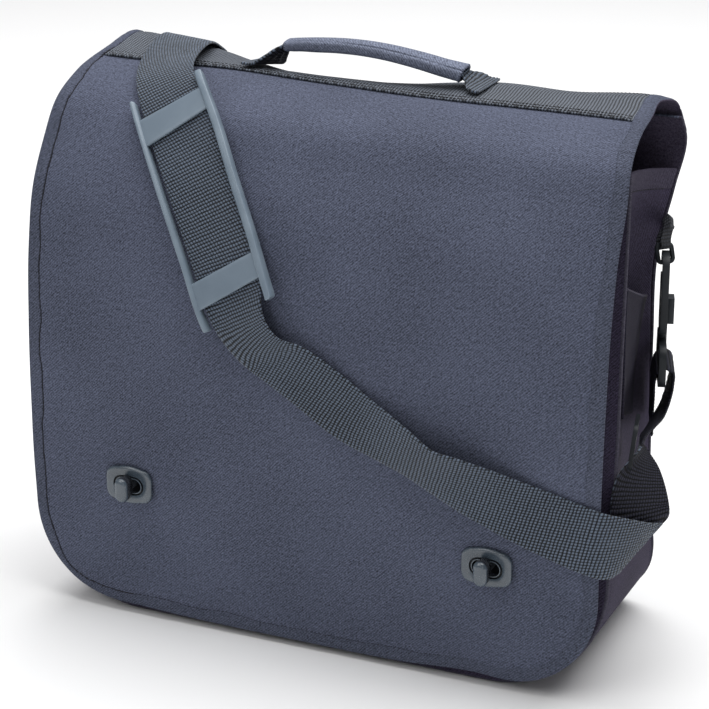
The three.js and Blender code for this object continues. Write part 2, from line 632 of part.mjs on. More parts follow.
// Snap hook in local axes: b runs from the strap bar (0) to the nose, the eye takes the ring.
const EYE = { low: 60.2, high: 79.2, half: 7.2 };
const LATCH = { a0: 7.9, a1: 10.9, c0: -1.0, low: 36.3, high: 74.7 };
const MOUTH = { low: 67.2, high: 75.2 };
function hookBody(withLatch) {
  const H = HOOK.top - HOOK.loopBottom;
  const loop = rounded(-HOOK.loopHalf, 0, HOOK.loopHalf, HOOK.loopTop - HOOK.loopBottom, 8);
  loop.holes.push(rounded(-HOOK.loopHalf + 4, 4.6, HOOK.loopHalf - 4, HOOK.loopTop - HOOK.loopBottom - 6, 4));
  let s = solid(slab(loop, 4.6));
  const head = rounded(-12.5, HOOK.shank - HOOK.loopBottom, 12.5, H, 9);
  head.holes.push(rounded(-EYE.half, EYE.low, EYE.half, EYE.high, 2));
  s = s.add(solid(slab(head, HOOK.thick)));
  s = s.add(solid(new THREE.CylinderGeometry(2.9, 2.9, 12, 14).translate(0, HOOK.loopTop - HOOK.loopBottom, 0)));
  if (withLatch) {
    // channel for the latch, open on the outer face, and the mouth that the latch closes
    s = s.subtract(solid(box(LATCH.a0 - 0.4, LATCH.a1 + 0.4, LATCH.low - LATCH_TRAVEL - 0.5, LATCH.high + 1, LATCH.c0 - 0.4, 10)));
    s = s.subtract(solid(box(EYE.half - 1, 14, MOUTH.low, MOUTH.high, -10, 10)));
  }
  return s;
}
const turn = THREE.MathUtils.degToRad(HOOK.turn);
const across = V(-Math.sin(turn), Math.cos(turn), 0);
const rightHook = frameOf(V(HOOK.centre[0], HOOK.centre[1], HOOK.loopBottom), across, V(0, 0, 1));
add("hook_right", geometryFrom(hookBody(true)).applyMatrix4(rightHook), "darkPlastic");
const latch = solid(box(LATCH.a0, LATCH.a1, LATCH.low, LATCH.high, LATCH.c0, HOOK.thick / 2 - 0.4))
  .add(solid(box(LATCH.a0, LATCH.a1, LATCH.low + 1, LATCH.low + 15, 0, HOOK.thick / 2 + 1)))
  .add(solid(box(1, 11, LATCH.low - 0.5, LATCH.low + 16.5, HOOK.thick / 2 + 0.5, HOOK.thick / 2 + 4.6)));
add("latch_right", geometryFrom(latch).applyMatrix4(rightHook), "darkPlastic");

const leftAxis = V(0.3, 0, 0.954);
const LEFT_BAR = V(-161.3, 92.5, 337.4);
const leftHook = frameOf(LEFT_BAR.clone().addScaledVector(leftAxis, 2.3), V(-0.954, 0, 0.3), leftAxis.clone().negate());
add("hook_left", geometryFrom(hookBody(false)).applyMatrix4(leftHook), "darkPlastic");

function ringGeometry(half, height, wire) {
  const s = rounded(-half - wire, -wire, half + wire, height + wire, 4);
  s.holes.push(rounded(-half, 0, half, height, 2));
  return slab(s, wire);
}
// Each ring lies across the hook's eye, so its plane is turned a quarter round the hook's length.
const RING = { half: 4.2, height: 9.5, wire: 2.2 };
function ringFrame(hook, lean, back) {
  const o = V(0, EYE.high - RING.wire - 0.8, 0).applyMatrix4(hook),
    a = V(1, 0, 0).transformDirection(hook),
    b = V(0, 1, 0).transformDirection(hook),
    c = V(0, 0, 1).transformDirection(hook);
  const width = c.clone().multiplyScalar(Math.cos(lean)).addScaledVector(a, Math.sin(lean));
  return frameOf(o.addScaledVector(b, RING.wire), width, b.clone().addScaledVector(a, back));
}
const ringR = ringFrame(rightHook, 0.5, 0.4),
  ringL = ringFrame(leftHook, 0.5, 0);
add("ring_right", ringGeometry(RING.half, RING.height, RING.wire).applyMatrix4(ringR), "darkPlastic");
add("ring_left", ringGeometry(RING.half, RING.height, RING.wire).applyMatrix4(ringL), "darkPlastic");

// Webbing tab: a strip folded round the ring's far bar, both ends passing the stops to reach the seam.
function tab(ring, stops, width) {
  const barMid = V(0, RING.height + RING.wire / 2, 0).applyMatrix4(ring),
    w = V(1, 0, 0).transformDirection(ring);
  const across = (v) => v.addScaledVector(w, -v.dot(w)).normalize();
  const pull = across(stops[stops.length - 1].clone().sub(barMid));
  const side = w.clone().cross(pull).normalize();
  const r = RING.wire * 0.72 + 1.2;
  const outer = [],
    inner = [];
  stops.forEach((stop, i) => {
    const toSeam = across((i ? stops[i - 1] : stop).clone().sub(stops[i + 1] ?? barMid)),
      n = w.clone().cross(toSeam).normalize(),
      apart = i ? r * 0.8 : 1.2;
    outer.push(stop.clone().addScaledVector(n, apart));
    inner.unshift(stop.clone().addScaledVector(n, -apart));
  });
  const turn = steps(0, Math.PI, 6).map((a) => barMid.clone().addScaledVector(side, r * Math.cos(a)).addScaledVector(pull, -r * Math.sin(a)));
  const path = [...outer, ...turn, ...inner];
  return loft(
    path.map((p, i) => {
      const d = path[Math.min(i + 1, path.length - 1)].clone().sub(path[Math.max(i - 1, 0)]).normalize(),
        n = w.clone().cross(d).normalize().multiplyScalar(0.75),
        h = w.clone().multiplyScalar(width / 2);
      return [p.clone().add(h).add(n), p.clone().add(h).sub(n), p.clone().sub(h).sub(n), p.clone().sub(h).add(n)];
    }),
  );
}
add("tab_right", tab(ringR, [V(192.7, 60.5, 274.3), V(195.0, 51.9, 279.6), V(196.6, 45.8, 281.4), V(197.2, 41.6, 279.6)], 7.4), "webbing");
add("tab_left", tab(ringL, [V(-193.5, 80, 238), V(-187.8, 91.2, 245)], 7.4), "webbing");

// Slide that sets the strap's length: a flat frame with a middle bar.
const slideShape = rounded(-24, -14.5, 24, 14.5, 5);
slideShape.holes.push(rounded(-20.5, 2.4, 20.5, 10.5, 2), rounded(-20.5, -10.5, 20.5, -2.4, 2));
add("strap_slide", slab(slideShape, 2.6).applyMatrix4(frameOf(V(203.6, -30, 162), V(-0.26, 0.945, -0.2), V(0.06, 0.2, 1))), "darkPlastic");

export default bag;
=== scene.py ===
"""Looks of a cloth tool bag: woven flap and body, ribbed webbing, sewn hems and moulded fittings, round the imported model."""

import math

import bpy
import numpy as np
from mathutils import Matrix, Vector


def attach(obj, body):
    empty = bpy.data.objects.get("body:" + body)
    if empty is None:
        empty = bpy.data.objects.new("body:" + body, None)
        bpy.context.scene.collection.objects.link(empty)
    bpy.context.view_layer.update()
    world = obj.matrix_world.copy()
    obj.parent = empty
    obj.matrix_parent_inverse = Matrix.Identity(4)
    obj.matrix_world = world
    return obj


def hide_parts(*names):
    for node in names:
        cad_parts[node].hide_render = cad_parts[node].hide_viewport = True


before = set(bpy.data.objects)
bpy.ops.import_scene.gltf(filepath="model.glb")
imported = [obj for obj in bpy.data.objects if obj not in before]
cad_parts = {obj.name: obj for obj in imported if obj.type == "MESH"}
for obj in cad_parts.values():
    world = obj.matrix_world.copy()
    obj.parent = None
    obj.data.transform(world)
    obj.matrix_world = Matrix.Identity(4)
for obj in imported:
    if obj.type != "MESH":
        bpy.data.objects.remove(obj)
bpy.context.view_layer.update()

# ------------------------------------------------------------------ sizes, millimetres, as in the part
CLOTH, WEBBING, GAP = 2.0, 1.8, 0.4
STRAP_WIDTH, BAND_WIDTH = 40.0, 54.0
FLAP_HALF, FLAP_CORNER, FRONT_CORNER, BACK_CORNER = 200.0, 66.0, 76.0, 60.0
LOCKS = {"left": (-124.8, 97.0), "right": (128.6, 85.5)}
LOCK = dict(plate_w=34, plate_h=26.5, plate_t=2.6, slot_w=18.2, slot_h=9.6, knob_w=9.6, knob_h=17, knob_t=11)
HEM, STITCH = 7.5, 3.1  # hem's stitch line from the edge, one stitch's pitch
RIB, COLUMN = 2.32, 1.92  # webbing: pitch of its cross ribs and of its warp columns

# Flap from its lower front edge over the top to the back. columns: left y, left z, right x, right y, right z
FLAP = [
    [-80, 5, 200, -80, 5], [-79, 58, 200, -79, 58], [-81, 129, 200, -81, 129], [-79, 200, 200, -79, 200],
    [-74, 253, 200, -74, 253], [-66, 289, 200, -66, 289], [-50, 317, 199.5, -52, 317], [-34, 338, 197.4, -40, 337],
    [-6, 352, 193.8, -14, 349.7], [34, 359.5, 191, 20, 356], [70, 363, 188.6, 52, 359], [80, 357, 192, 67, 355],
    [82, 340, 196, 75, 341],
]
# Front panel. columns: z, half width, y at the edges, y in the middle
FRONT = [[1, 203, -71, -73], [60, 203, -69, -72.5], [100, 203, -66, -72.5], [160, 203, -60, -71], [230, 202, -55, -64], [290, 198, -40, -49], [330, 194, -26, -29]]
# Back panel. columns: z, half width, y left, y right, y middle
BACK = [[1, 200, 76, 76, 78], [60, 191, 72, 62, 79], [150, 187.5, 69, 57, 79], [200, 187, 68, 55, 79], [265, 188, 70, 57, 78], [300, 193.5, 74.5, 67.2, 79], [334, 198, 78.4, 71.8, 79.2], [346, 196, 75.4, 66.8, 75.2]]
# Inward fold of the sides. columns: z, depth
FOLD = [[1, 0], [60, 0], [120, 4], [200, 11], [265, 17], [300, 12], [330, 7]]
GUSSET_TOP_FRONT, GUSSET_TOP_BACK = 330.0, 311.0
# Strap sections. columns of the ends: centre x, y, z, width direction x, y, z, half width
RIGHT_END = [
    [195.7, 31.5, 150, -0.33, 0.944, 0, 20], [195.7, 31.5, 166, -0.33, 0.944, 0, 20], [195.7, 31.5, 177, -0.33, 0.944, 0, 20],
    [195.9, 31.6, 187, -0.33, 0.944, 0, 20], [197.8, 32.2, 192.9, -0.33, 0.944, 0, 20], [202.4, 33.8, 195.4, -0.33, 0.944, 0, 20],
    [206.6, 35.2, 192.5, -0.33, 0.944, 0, 20], [207.4, 33.7, 186, -0.33, 0.944, 0, 20], [207.2, 30, 177, -0.32, 0.94, -0.02, 20],
    [206.4, 22.5, 167.8, -0.3, 0.94, -0.06, 20], [205.6, 6, 163.8, -0.28, 0.94, -0.15, 19.5], [205.8, -12, 162.2, -0.26, 0.94, -0.2, 18],
    [207.4, -29, 160.5, -0.26, 0.945, -0.2, 18], [212, -45, 149, 0.4, 0.88, -0.15, 19], [216.5, -54, 130, 0.7, 0.71, 0, 20],
]
# columns: first edge x, y, z, second edge x, y, z
TURN = [[229.5, -42, 119.5, 209.5, -73, 92], [226.5, -52.5, 124, 208, -80, 89.5], [216, -71.5, 131, 205, -87.5, 91.5]]
RUN = [
    [203.4, -83.9, 136.2, 197.8, -92.8, 95.7], [192.1, -83.8, 137.9, 177.4, -92.1, 100.5], [174.2, -84.5, 142.4, 157.3, -90.9, 105.5],
    [144.0, -89.2, 151.0, 120.0, -88.9, 117.8], [112.0, -97.2, 160.6, 88.7, -86.0, 131.0], [98.0, -99.4, 163.7, 72.5, -86.0, 139.1],
    [79.2, -95.9, 173.6, 52.9, -86.0, 146.1], [53.6, -88.9, 185.7, 23.3, -87.5, 158.5], [28.7, -87.2, 201.5, -4.8, -88.4, 175.9],
    [4.1, -89.8, 215.4, -28.8, -88.4, 190.8], [-9.1, -94.2, 219.6, -40.0, -88.4, 198.6], [-17.9, -93.9, 228.1, -49.5, -88.4, 207.4],
    [-24.8, -88.9, 241.5, -57.8, -88.9, 219.3], [-43.0, -76.1, 278.3, -77.2, -80.8, 257.4], [-74.2, -52.1, 327.2, -106.1, -62.3, 305.7],
    [-90.4, -36.5, 350.0, -122.8, -49.1, 327.5], [-106.3, -16.6, 364.6, -144.2, -24.0, 353.4], [-119.1, 16.9, 367.2, -159.6, 14.7, 363.4],
    [-127.4, 54.6, 365.4, -167.6, 58.0, 367.6],
]
LEFT_END = [
    [-150.8, 71.5, 361.2, 0.99, -0.07, -0.1, 20], [-153, 85, 354.5, 0.97, 0, -0.2, 20], [-157, 93.2, 347.5, 0.955, 0, -0.3, 20],
    [-161.3, 96.8, 337.4, 0.955, 0, -0.3, 20], [-162.7, 96.0, 332.8, 0.955, 0, -0.3, 20], [-163.4, 92.5, 330.9, 0.955, 0, -0.3, 20],
    [-162.7, 89.0, 332.8, 0.955, 0, -0.3, 20], [-161.3, 88.2, 337.4, 0.955, 0, -0.3, 20], [-158.0, 88.6, 347, 0.955, 0, -0.3, 20],
]
# Carry handle. columns: x, y, z, width, lean of the width in x, lean of the width in z
HANDLE = [
    [-90, 35.4, 360.6, 33, 0.1, -0.14], [-82.5, 35.4, 360.0, 33, 0.18, -0.17], [-77.6, 35.3, 360.8, 32, 0.24, -0.18], [-74.6, 35, 363.2, 28, 0.21, -0.18],
    [-71.4, 34.8, 366.7, 22, 0.2, -0.15], [-68.1, 34.2, 370.3, 16.5, 0.15, -0.1], [-63.5, 33.8, 373.8, 13, 0, 0], [-54, 33.5, 375.4, 12, 0, 0],
    [-39.3, 33.2, 376.6, 12, 0, 0], [-21.3, 33, 377.6, 12, 0, 0], [3.6, 32.6, 376.8, 12, 0, 0], [28.9, 32.2, 373.7, 12, 0, 0],
    [45.6, 32, 370.9, 12, 0, 0], [56, 32, 369.2, 12, 0, 0], [62, 32.3, 368, 13.2, 0, 0], [68.6, 33, 364.4, 27, 0.06, 0.05],
    [72.6, 33, 362.1, 36, 0, 0], [75.4, 33, 361.5, 38, 0, 0], [79, 33, 361.3, 38, 0, 0],
]
GRIP = dict(start=0.347, end=0.778, width=15.5, height=8.0, grow=0.34)
PAD = dict(shift=6.5, left=(-22.3, -25.6), right=(22.6, 28.0), height=5.4)
# Outward shift of the shoulder frame's right rail. columns: place from its lower bar, shift
PAD_BOW = [[-14, 3.8], [0, 3.4], [25, 2.5], [60, 1.5], [116, 1.3], [141, -0.6], [156, -1.4]]


# ------------------------------------------------------------------ small helpers
def clamp(t, a=0.0, b=1.0):
    return np.clip(t, a, b)


def smooth(t):
    t = np.clip(t, 0, 1)
    return t * t * (3 - 2 * t)


def hump(t):
    return np.exp(-np.square(t))


def unit(v):
    return v / np.maximum(np.linalg.norm(v, axis=-1, keepdims=True), 1e-9)


class Through:
    """Smooth curve through table rows at the given knots, for arrays of places."""

    def __init__(self, rows, knots):
        self.r, self.k = np.array(rows, float), np.array(knots, float)
        d, h = np.diff(self.r, axis=0) / np.diff(self.k)[:, None], np.diff(self.k)
        self.m = np.empty_like(self.r)
        self.m[0], self.m[-1] = d[0], d[-1]
        self.m[1:-1] = (d[:-1] * h[1:, None] + d[1:] * h[:-1, None]) / (h[1:] + h[:-1])[:, None]

    def __call__(self, t):
        t = np.clip(np.asarray(t, float), self.k[0], self.k[-1])
        i = np.clip(np.searchsorted(self.k, t, side="left") - 1, 0, len(self.k) - 2)
        h = (self.k[i + 1] - self.k[i])[..., None]
        s = (t - self.k[i])[..., None] / h
        s2, s3 = s * s, s * s * s
        return (2 * s3 - 3 * s2 + 1) * self.r[i] + (s3 - 2 * s2 + s) * h * self.m[i] + (3 * s2 - 2 * s3) * self.r[i + 1] + (s3 - s2) * h * self.m[i + 1]


def by_first(rows):
    return Through([r[1:] for r in rows], [r[0] for r in rows])


def noise(x, y, seed=0):
    """Smooth value noise from -1 to 1 on a unit lattice, the same each time."""
    x, y = np.broadcast_arrays(np.asarray(x, float), np.asarray(y, float))
    i, j = np.floor(x).astype(np.int64), np.floor(y).astype(np.int64)

    def at(a, b):
        h = (a * 374761393 + b * 668265263 + seed * 974711) & 0xFFFFFFFF
        h = ((h ^ (h >> 13)) * 1274126177) & 0xFFFFFFFF
        return ((h ^ (h >> 16)) & 0xFFFF) / 32767.5 - 1

    fx, fy = smooth(x - i), smooth(y - j)
    return (at(i, j) * (1 - fx) + at(i + 1, j) * fx) * (1 - fy) + (at(i, j + 1) * (1 - fx) + at(i + 1, j + 1) * fx) * fy


def crumple(x, y, seed=0):
    return noise(x, y, seed) + 0.5 * noise(2.1 * x + 7, 2.1 * y, seed + 1) + 0.25 * noise(4.3 * x, 4.3 * y + 3, seed + 2)


def normals_of(p):
    return unit(np.cross(np.gradient(p, axis=0), np.gradient(p, axis=1)))


def mesh_piece(name, verts, faces, uv, materials, body="bag", face_material=None, sharp=None):
    """A new mesh object from points in millimetres, with one uv per point in metres."""
    me = bpy.data.meshes.new(name)
    me.from_pydata((np.asarray(verts, float) * 0.001).tolist(), [], [list(map(int, f)) for f in faces])
    me.validate()
    layer = me.uv_layers.new(name="weave")
    idx = np.empty(len(me.loops), np.int64)
    me.loops.foreach_get("vertex_index", idx)
    layer.data.foreach_set("uv", np.asarray(uv, np.float32)[idx].ravel())
    for m in materials:
        me.materials.append(m)
    if face_material is not None:
        me.polygons.foreach_set("material_index", np.asarray(face_material, np.int32))
    me.polygons.foreach_set("use_smooth", np.ones(len(me.polygons), bool))
    if sharp:
        me.set_sharp_from_angle(angle=math.radians(sharp))
    me.update()
    o = bpy.data.objects.new(name, me)
    bpy.context.scene.collection.objects.link(o)
    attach(o, body)
    return o


def shell(p, up, down, uv, n=None, rim=0.55, keep=None):
    """Closed sheet over a grid of middle points: two faces at up and down from it, and a rounded edge. Gives points, faces and uv, and the grid cell of each face (-1 on an edge)."""
    nu, nv = p.shape[:2]
    n = normals_of(p) if n is None else n
    up, down = np.broadcast_to(up, (nu, nv))[..., None], np.broadcast_to(down, (nu, nv))[..., None]
    top, under = p + n * up, p - n * down
    i_d = np.arange(nu * nv).reshape(nu, nv)
    size = nu * nv
    loop = [(i, 0) for i in range(nu - 1)] + [(nu - 1, j) for j in range(nv - 1)] + [(i, nv - 1) for i in range(nu - 1, 0, -1)] + [(0, j) for j in range(nv - 1, 0, -1)]
    li, lj = np.array([a for a, _ in loop]), np.array([b for _, b in loop])
    inside = p[np.clip(li, 1, nu - 2), np.clip(lj, 1, nv - 2)]
    out = p[li, lj] - inside
    out = unit(out - n[li, lj] * (out * n[li, lj]).sum(-1, keepdims=True))
    middle = (top[li, lj] + under[li, lj]) / 2 + out * rim * (up[li, lj] + down[li, lj]) / 2
    cells = np.ones((nu - 1, nv - 1), bool) if keep is None else keep
    ci, cj = np.nonzero(cells)
    a, b, c, d = i_d[ci, cj], i_d[ci + 1, cj], i_d[ci + 1, cj + 1], i_d[ci, cj + 1]
    faces = [np.stack([a, b, c, d], 1), np.stack([a, d, c, b], 1) + size]
    cell = [ci * (nv - 1) + cj, ci * (nv - 1) + cj]
    k = np.arange(len(loop))
    q = np.roll(k, -1)
    t, r, u = i_d[li, lj], 2 * size + k, size + i_d[li, lj]
    faces += [np.stack([t[q], t[k], r[k], r[q]], 1), np.stack([r[q], r[k], u[k], u[q]], 1)]
    near = np.clip(li, 0, nu - 2) * (nv - 1) + np.clip(lj, 0, nv - 2)
    cell += [near, near]
    if keep is not None:  # walls of the holes
        wall = []
        for i, j in zip(*np.nonzero(~cells)):
            for di, dj, e, f in ((-1, 0, (i, j + 1), (i, j)), (1, 0, (i + 1, j), (i + 1, j + 1)), (0, -1, (i, j), (i + 1, j)), (0, 1, (i + 1, j + 1), (i, j + 1))):
                if cells[i + di, j + dj]:
                    wall.append([i_d[e], i_d[f], i_d[f] + size, i_d[e] + size])
        faces.append(np.array(wall))
        cell.append(np.full(len(wall), -1))
    flat = uv.reshape(-1, 2)
    points = np.concatenate([top.reshape(-1, 3), under.reshape(-1, 3), middle])
    if keep is not None:  # leave out the points inside the holes
        faces_all = np.concatenate(faces)
        used, faces_all = np.unique(faces_all, return_inverse=True)
        return points[used], faces_all.reshape(-1, 4), np.concatenate([flat, flat, flat[i_d[li, lj]]])[used], np.concatenate(cell)
    return points, np.concatenate(faces), np.concatenate([flat, flat, flat[i_d[li, lj]]]), np.concatenate(cell)


def loft(rings, closed_ends=True):
    """Faces of a loft over equal closed rings (n, m, 3)."""
    n, m = rings.shape[:2]
    i_d = np.arange(n * m).reshape(n, m)
    nxt = np.roll(i_d, -1, axis=1)
    faces = [list(f) for f in np.stack([i_d[:-1], nxt[:-1], nxt[1:], i_d[1:]], -1).reshape(-1, 4)]
    if closed_ends:
        faces += [list(i_d[0][::-1]), list(i_d[-1])]
    return faces


def turned_out(verts, faces):
    """The faces, turned round if they point inwards."""
    v = np.asarray(verts)
    total = 0.0
    for f in faces:
        a = v[f[0]]
        for i in range(1, len(f) - 1):
            total += np.dot(a, np.cross(v[f[i]], v[f[i + 1]]))
    return faces if total > 0 else [list(f)[::-1] for f in faces]


def joined(parts):
    """Several (points, faces, uv) as one."""
    v, f, t, base = [], [], [], 0
    for points, faces, uv in parts:
        v.append(np.asarray(points))
        t.append(np.asarray(uv))
        f += [[int(i) + base for i in face] for face in faces]
        base += len(points)
    return np.concatenate(v), f, np.concatenate(t)


def threads(a, b, n, radius=0.27, lift=0.16, sides=6):
    """Sewing stitches from points a to b on a surface with normals n: short bowed threads, sunk at both ends."""
    a, b, n = np.asarray(a), np.asarray(b), unit(np.asarray(n))
    d = unit(b - a)
    w = unit(np.cross(n, d))
    ang = np.arange(sides) / sides * 2 * np.pi
    prof = [(0.0, -0.28, 0.35), (0.16, 0.02, 0.9), (0.5, lift, 1.0), (0.84, 0.02, 0.9), (1.0, -0.28, 0.35)]
    rings = []
    for f, h, r in prof:
        c = a + (b - a) * f + n * h
        rings.append(c[:, None] + (w[:, None] * np.cos(ang)[None, :, None] + n[:, None] * np.sin(ang)[None, :, None]) * radius * r)
    pts = np.stack(rings, 1)  # stitch, ring, side
    m, k = len(a), len(prof)
    i_d = np.arange(m * k * sides).reshape(m, k, sides)
    nxt = np.roll(i_d, -1, axis=2)
    quads = np.stack([i_d[:, :-1], i_d[:, 1:], nxt[:, 1:], nxt[:, :-1]], -1).reshape(-1, 4)
    faces = [list(q) for q in quads] + [list(i_d[s, 0]) for s in range(m)] + [list(i_d[s, -1][::-1]) for s in range(m)]
    flip = np.dot(np.cross(d[0], w[0]), n[0]) < 0
    if flip:
        faces = [f[::-1] for f in faces]
    uv = np.stack(np.broadcast_arrays(np.arange(sides)[None, None] * 0.0003, np.arange(m)[:, None, None] * 0.003 + np.array([p[0] for p in prof])[None, :, None] * 0.003), -1)
    return pts.reshape(-1, 3), faces, uv.reshape(-1, 2)


def seam(points, normals, pitch=STITCH, share=0.86, lift=0.0, **shape):
    """Stitches along a line of closely spaced points."""
    p, n = np.asarray(points, float), np.asarray(normals, float)
    along = np.concatenate([[0], np.cumsum(np.linalg.norm(np.diff(p, axis=0), axis=1))])
    count = max(1, int(along[-1] / pitch))
    at = np.arange(count) * along[-1] / count

    def pick(t, q):
        return np.stack([np.interp(t, along, q[:, c]) for c in range(3)], 1)

    p = p + unit(n) * lift
    return threads(pick(at, p), pick(at + share * along[-1] / count, p), pick(at + pitch / 2, n), **shape)


# ------------------------------------------------------------------ materials
class Graph:
    """Node building for one material."""

    def __init__(self, name):
        self.m = bpy.data.materials.new(name)
        self.m.use_nodes = True
        self.t = self.m.node_tree
        self.t.nodes.clear()
        out = self.t.nodes.new("ShaderNodeOutputMaterial")
        self.b = self.t.nodes.new("ShaderNodeBsdfPrincipled")
        self.t.links.new(self.b.outputs[0], out.inputs[0])

    def put(self, socket, value):
        if isinstance(value, bpy.types.NodeSocket):
            self.t.links.new(value, socket)
        else:
            socket.default_value = value

    def math(self, op, a, b=0.0, c=None):
        n = self.t.nodes.new("ShaderNodeMath")
        n.operation = op
        self.put(n.inputs[0], a)
        self.put(n.inputs[1], b)
        if c is not None:
            self.put(n.inputs[2], c)
        return n.outputs[0]

    def mm(self):
        """U and V of the weave in millimetres, and both as a vector."""
        uv = self.t.nodes.new("ShaderNodeUVMap")
        uv.uv_map = "weave"
        scale = self.t.nodes.new("ShaderNodeVectorMath")
        scale.operation = "SCALE"
        self.put(scale.inputs[0], uv.outputs[0])
        scale.inputs["Scale"].default_value = 1000.0
        sep = self.t.nodes.new("ShaderNodeSeparateXYZ")
        self.put(sep.inputs[0], scale.outputs[0])
        return sep.outputs[0], sep.outputs[1], scale.outputs[0]

    def place(self):
        """The object's own coordinates in millimetres."""
        tc = self.t.nodes.new("ShaderNodeTexCoord")
        scale = self.t.nodes.new("ShaderNodeVectorMath")
        scale.operation = "SCALE"
        self.put(scale.inputs[0], tc.outputs["Object"])
        scale.inputs["Scale"].default_value = 1000.0
        return scale.outputs[0]

    def noise(self, vector, scale, detail=2.0, rough=0.5):
        n = self.t.nodes.new("ShaderNodeTexNoise")
        self.put(n.inputs["Vector"], vector)
        n.inputs["Scale"].default_value = scale
        n.inputs["Detail"].default_value = detail
        n.inputs["Roughness"].default_value = rough
        return n.outputs["Fac"]

    def wave(self, phase):
        """0 to 1 sine of a phase counted in turns."""
        return self.math("MULTIPLY_ADD", self.math("SINE", self.math("MULTIPLY", phase, 2 * math.pi)), 0.5, 0.5)

    def mix(self, f, a, b):
        n = self.t.nodes.new("ShaderNodeMix")
        n.data_type = "RGBA"
        self.put(n.inputs[0], f)
        self.put(n.inputs[6], a)
        self.put(n.inputs[7], b)
        return n.outputs[2]

    def range(self, v, a, b, c, d):
        n = self.t.nodes.new("ShaderNodeMapRange")
        self.put(n.inputs[0], v)
        for i, x in enumerate((a, b, c, d)):
            n.inputs[1 + i].default_value = x
        return n.outputs[0]

    def bump(self, height, strength, distance, normal=None):
        n = self.t.nodes.new("ShaderNodeBump")
        n.inputs["Strength"].default_value = strength
        n.inputs["Distance"].default_value = distance
        self.put(n.inputs["Height"], height)
        if normal is not None:
            self.put(n.inputs["Normal"], normal)
        return n.outputs[0]

    def finish(self, color, rough, normal=None, spec=0.35, sheen=0.0, coat=0.0):
        self.put(self.b.inputs["Base Color"], color)
        self.put(self.b.inputs["Roughness"], rough)
        if normal is not None:
            self.put(self.b.inputs["Normal"], normal)
        self.b.inputs["Specular IOR Level"].default_value = spec
        self.b.inputs["Sheen Weight"].default_value = sheen
        self.b.inputs["Sheen Roughness"].default_value = 0.45
        self.b.inputs["Coat Weight"].default_value = coat
        return self.m


def rgb(r, g, b):
    return (r, g, b, 1.0)


def twill(name, light, dark, period=1.49, contrast=1.0, sheen=0.02, grain=1.0):
    g = Graph(name)
    u, v, vec = g.mm()
    across = g.math("SUBTRACT", g.math("MULTIPLY", u, 0.694 / period), g.math("MULTIPLY", v, 0.721 / period))
    wander = g.math("MULTIPLY", g.math("SUBTRACT", g.noise(vec, 0.12, 2), 0.5), 1.6)
    rib = g.wave(g.math("ADD", across, wander))
    thread = g.wave(g.math("ADD", g.math("MULTIPLY", v, 0.694 / (period * 0.62)), g.math("MULTIPLY", u, 0.721 / (period * 0.62))))
    height = g.math("MULTIPLY", rib, g.math("MULTIPLY_ADD", thread, 0.45, 0.55))
    yarn, slub = g.noise(vec, 0.78, 3, 0.65), g.noise(vec, 0.36, 2, 0.6)
    cloud = g.noise(vec, 0.011, 3, 0.55)
    mottle = g.math("ADD", g.math("MULTIPLY", g.math("SUBTRACT", yarn, 0.5), 1.9 * grain), g.math("MULTIPLY", g.math("SUBTRACT", slub, 0.5), 0.65 * grain))
    tone = g.math("ADD", g.math("MULTIPLY", g.math("SUBTRACT", height, 0.39), 0.42 * contrast), g.math("ADD", mottle, g.math("MULTIPLY_ADD", g.math("SUBTRACT", cloud, 0.5), 0.45, 0.5)))
    color = g.mix(g.range(tone, 0.0, 1.0, 0.0, 1.0), dark, light)
    bump = g.bump(g.math("ADD", height, g.math("MULTIPLY", yarn, 0.7)), 0.6, 0.0003)
    return g.finish(color, g.range(yarn, 0.2, 0.8, 0.76, 0.92), bump, spec=0.12, sheen=sheen)


def ribbed(name, light, dark, rib=RIB, column=COLUMN, spread=1.0, sheen=0.04, spec=0.4):
    g = Graph(name)
    u, v, vec = g.mm()
    skew = g.math("MULTIPLY", g.math("SUBTRACT", g.noise(vec, 0.16, 2), 0.5), 0.5)
    row = g.math("ADD", g.math("DIVIDE", v, rib), skew)
    shift = g.math("MULTIPLY", row, 0.31)
    up = g.math("ABSOLUTE", g.math("SINE", g.math("MULTIPLY", row, math.pi)))
    side = g.math("ABSOLUTE", g.math("SINE", g.math("MULTIPLY", g.math("ADD", g.math("DIVIDE", u, column), shift), math.pi)))
    height = g.math("MULTIPLY", g.math("POWER", up, 0.8), g.math("MULTIPLY_ADD", g.math("POWER", side, 0.75), 0.82, 0.18))
    yarn = g.noise(vec, 0.75, 3, 0.6)
    cloud = g.noise(vec, 0.02, 2)
    tone = g.math("ADD", g.math("MULTIPLY", g.math("POWER", height, 1.35), 1.15 * spread), g.math("ADD", g.math("MULTIPLY", g.math("SUBTRACT", yarn, 0.5), 0.8), g.math("MULTIPLY", g.math("SUBTRACT", cloud, 0.5), 0.35)))
    color = g.mix(g.range(tone, 0.17, 0.93, 0.0, 1.0), dark, light)
    bump = g.bump(g.math("ADD", height, g.math("MULTIPLY", yarn, 0.25)), 0.8, 0.0006)
    return g.finish(color, g.range(yarn, 0.2, 0.8, 0.55, 0.78), bump, spec=spec, sheen=sheen)


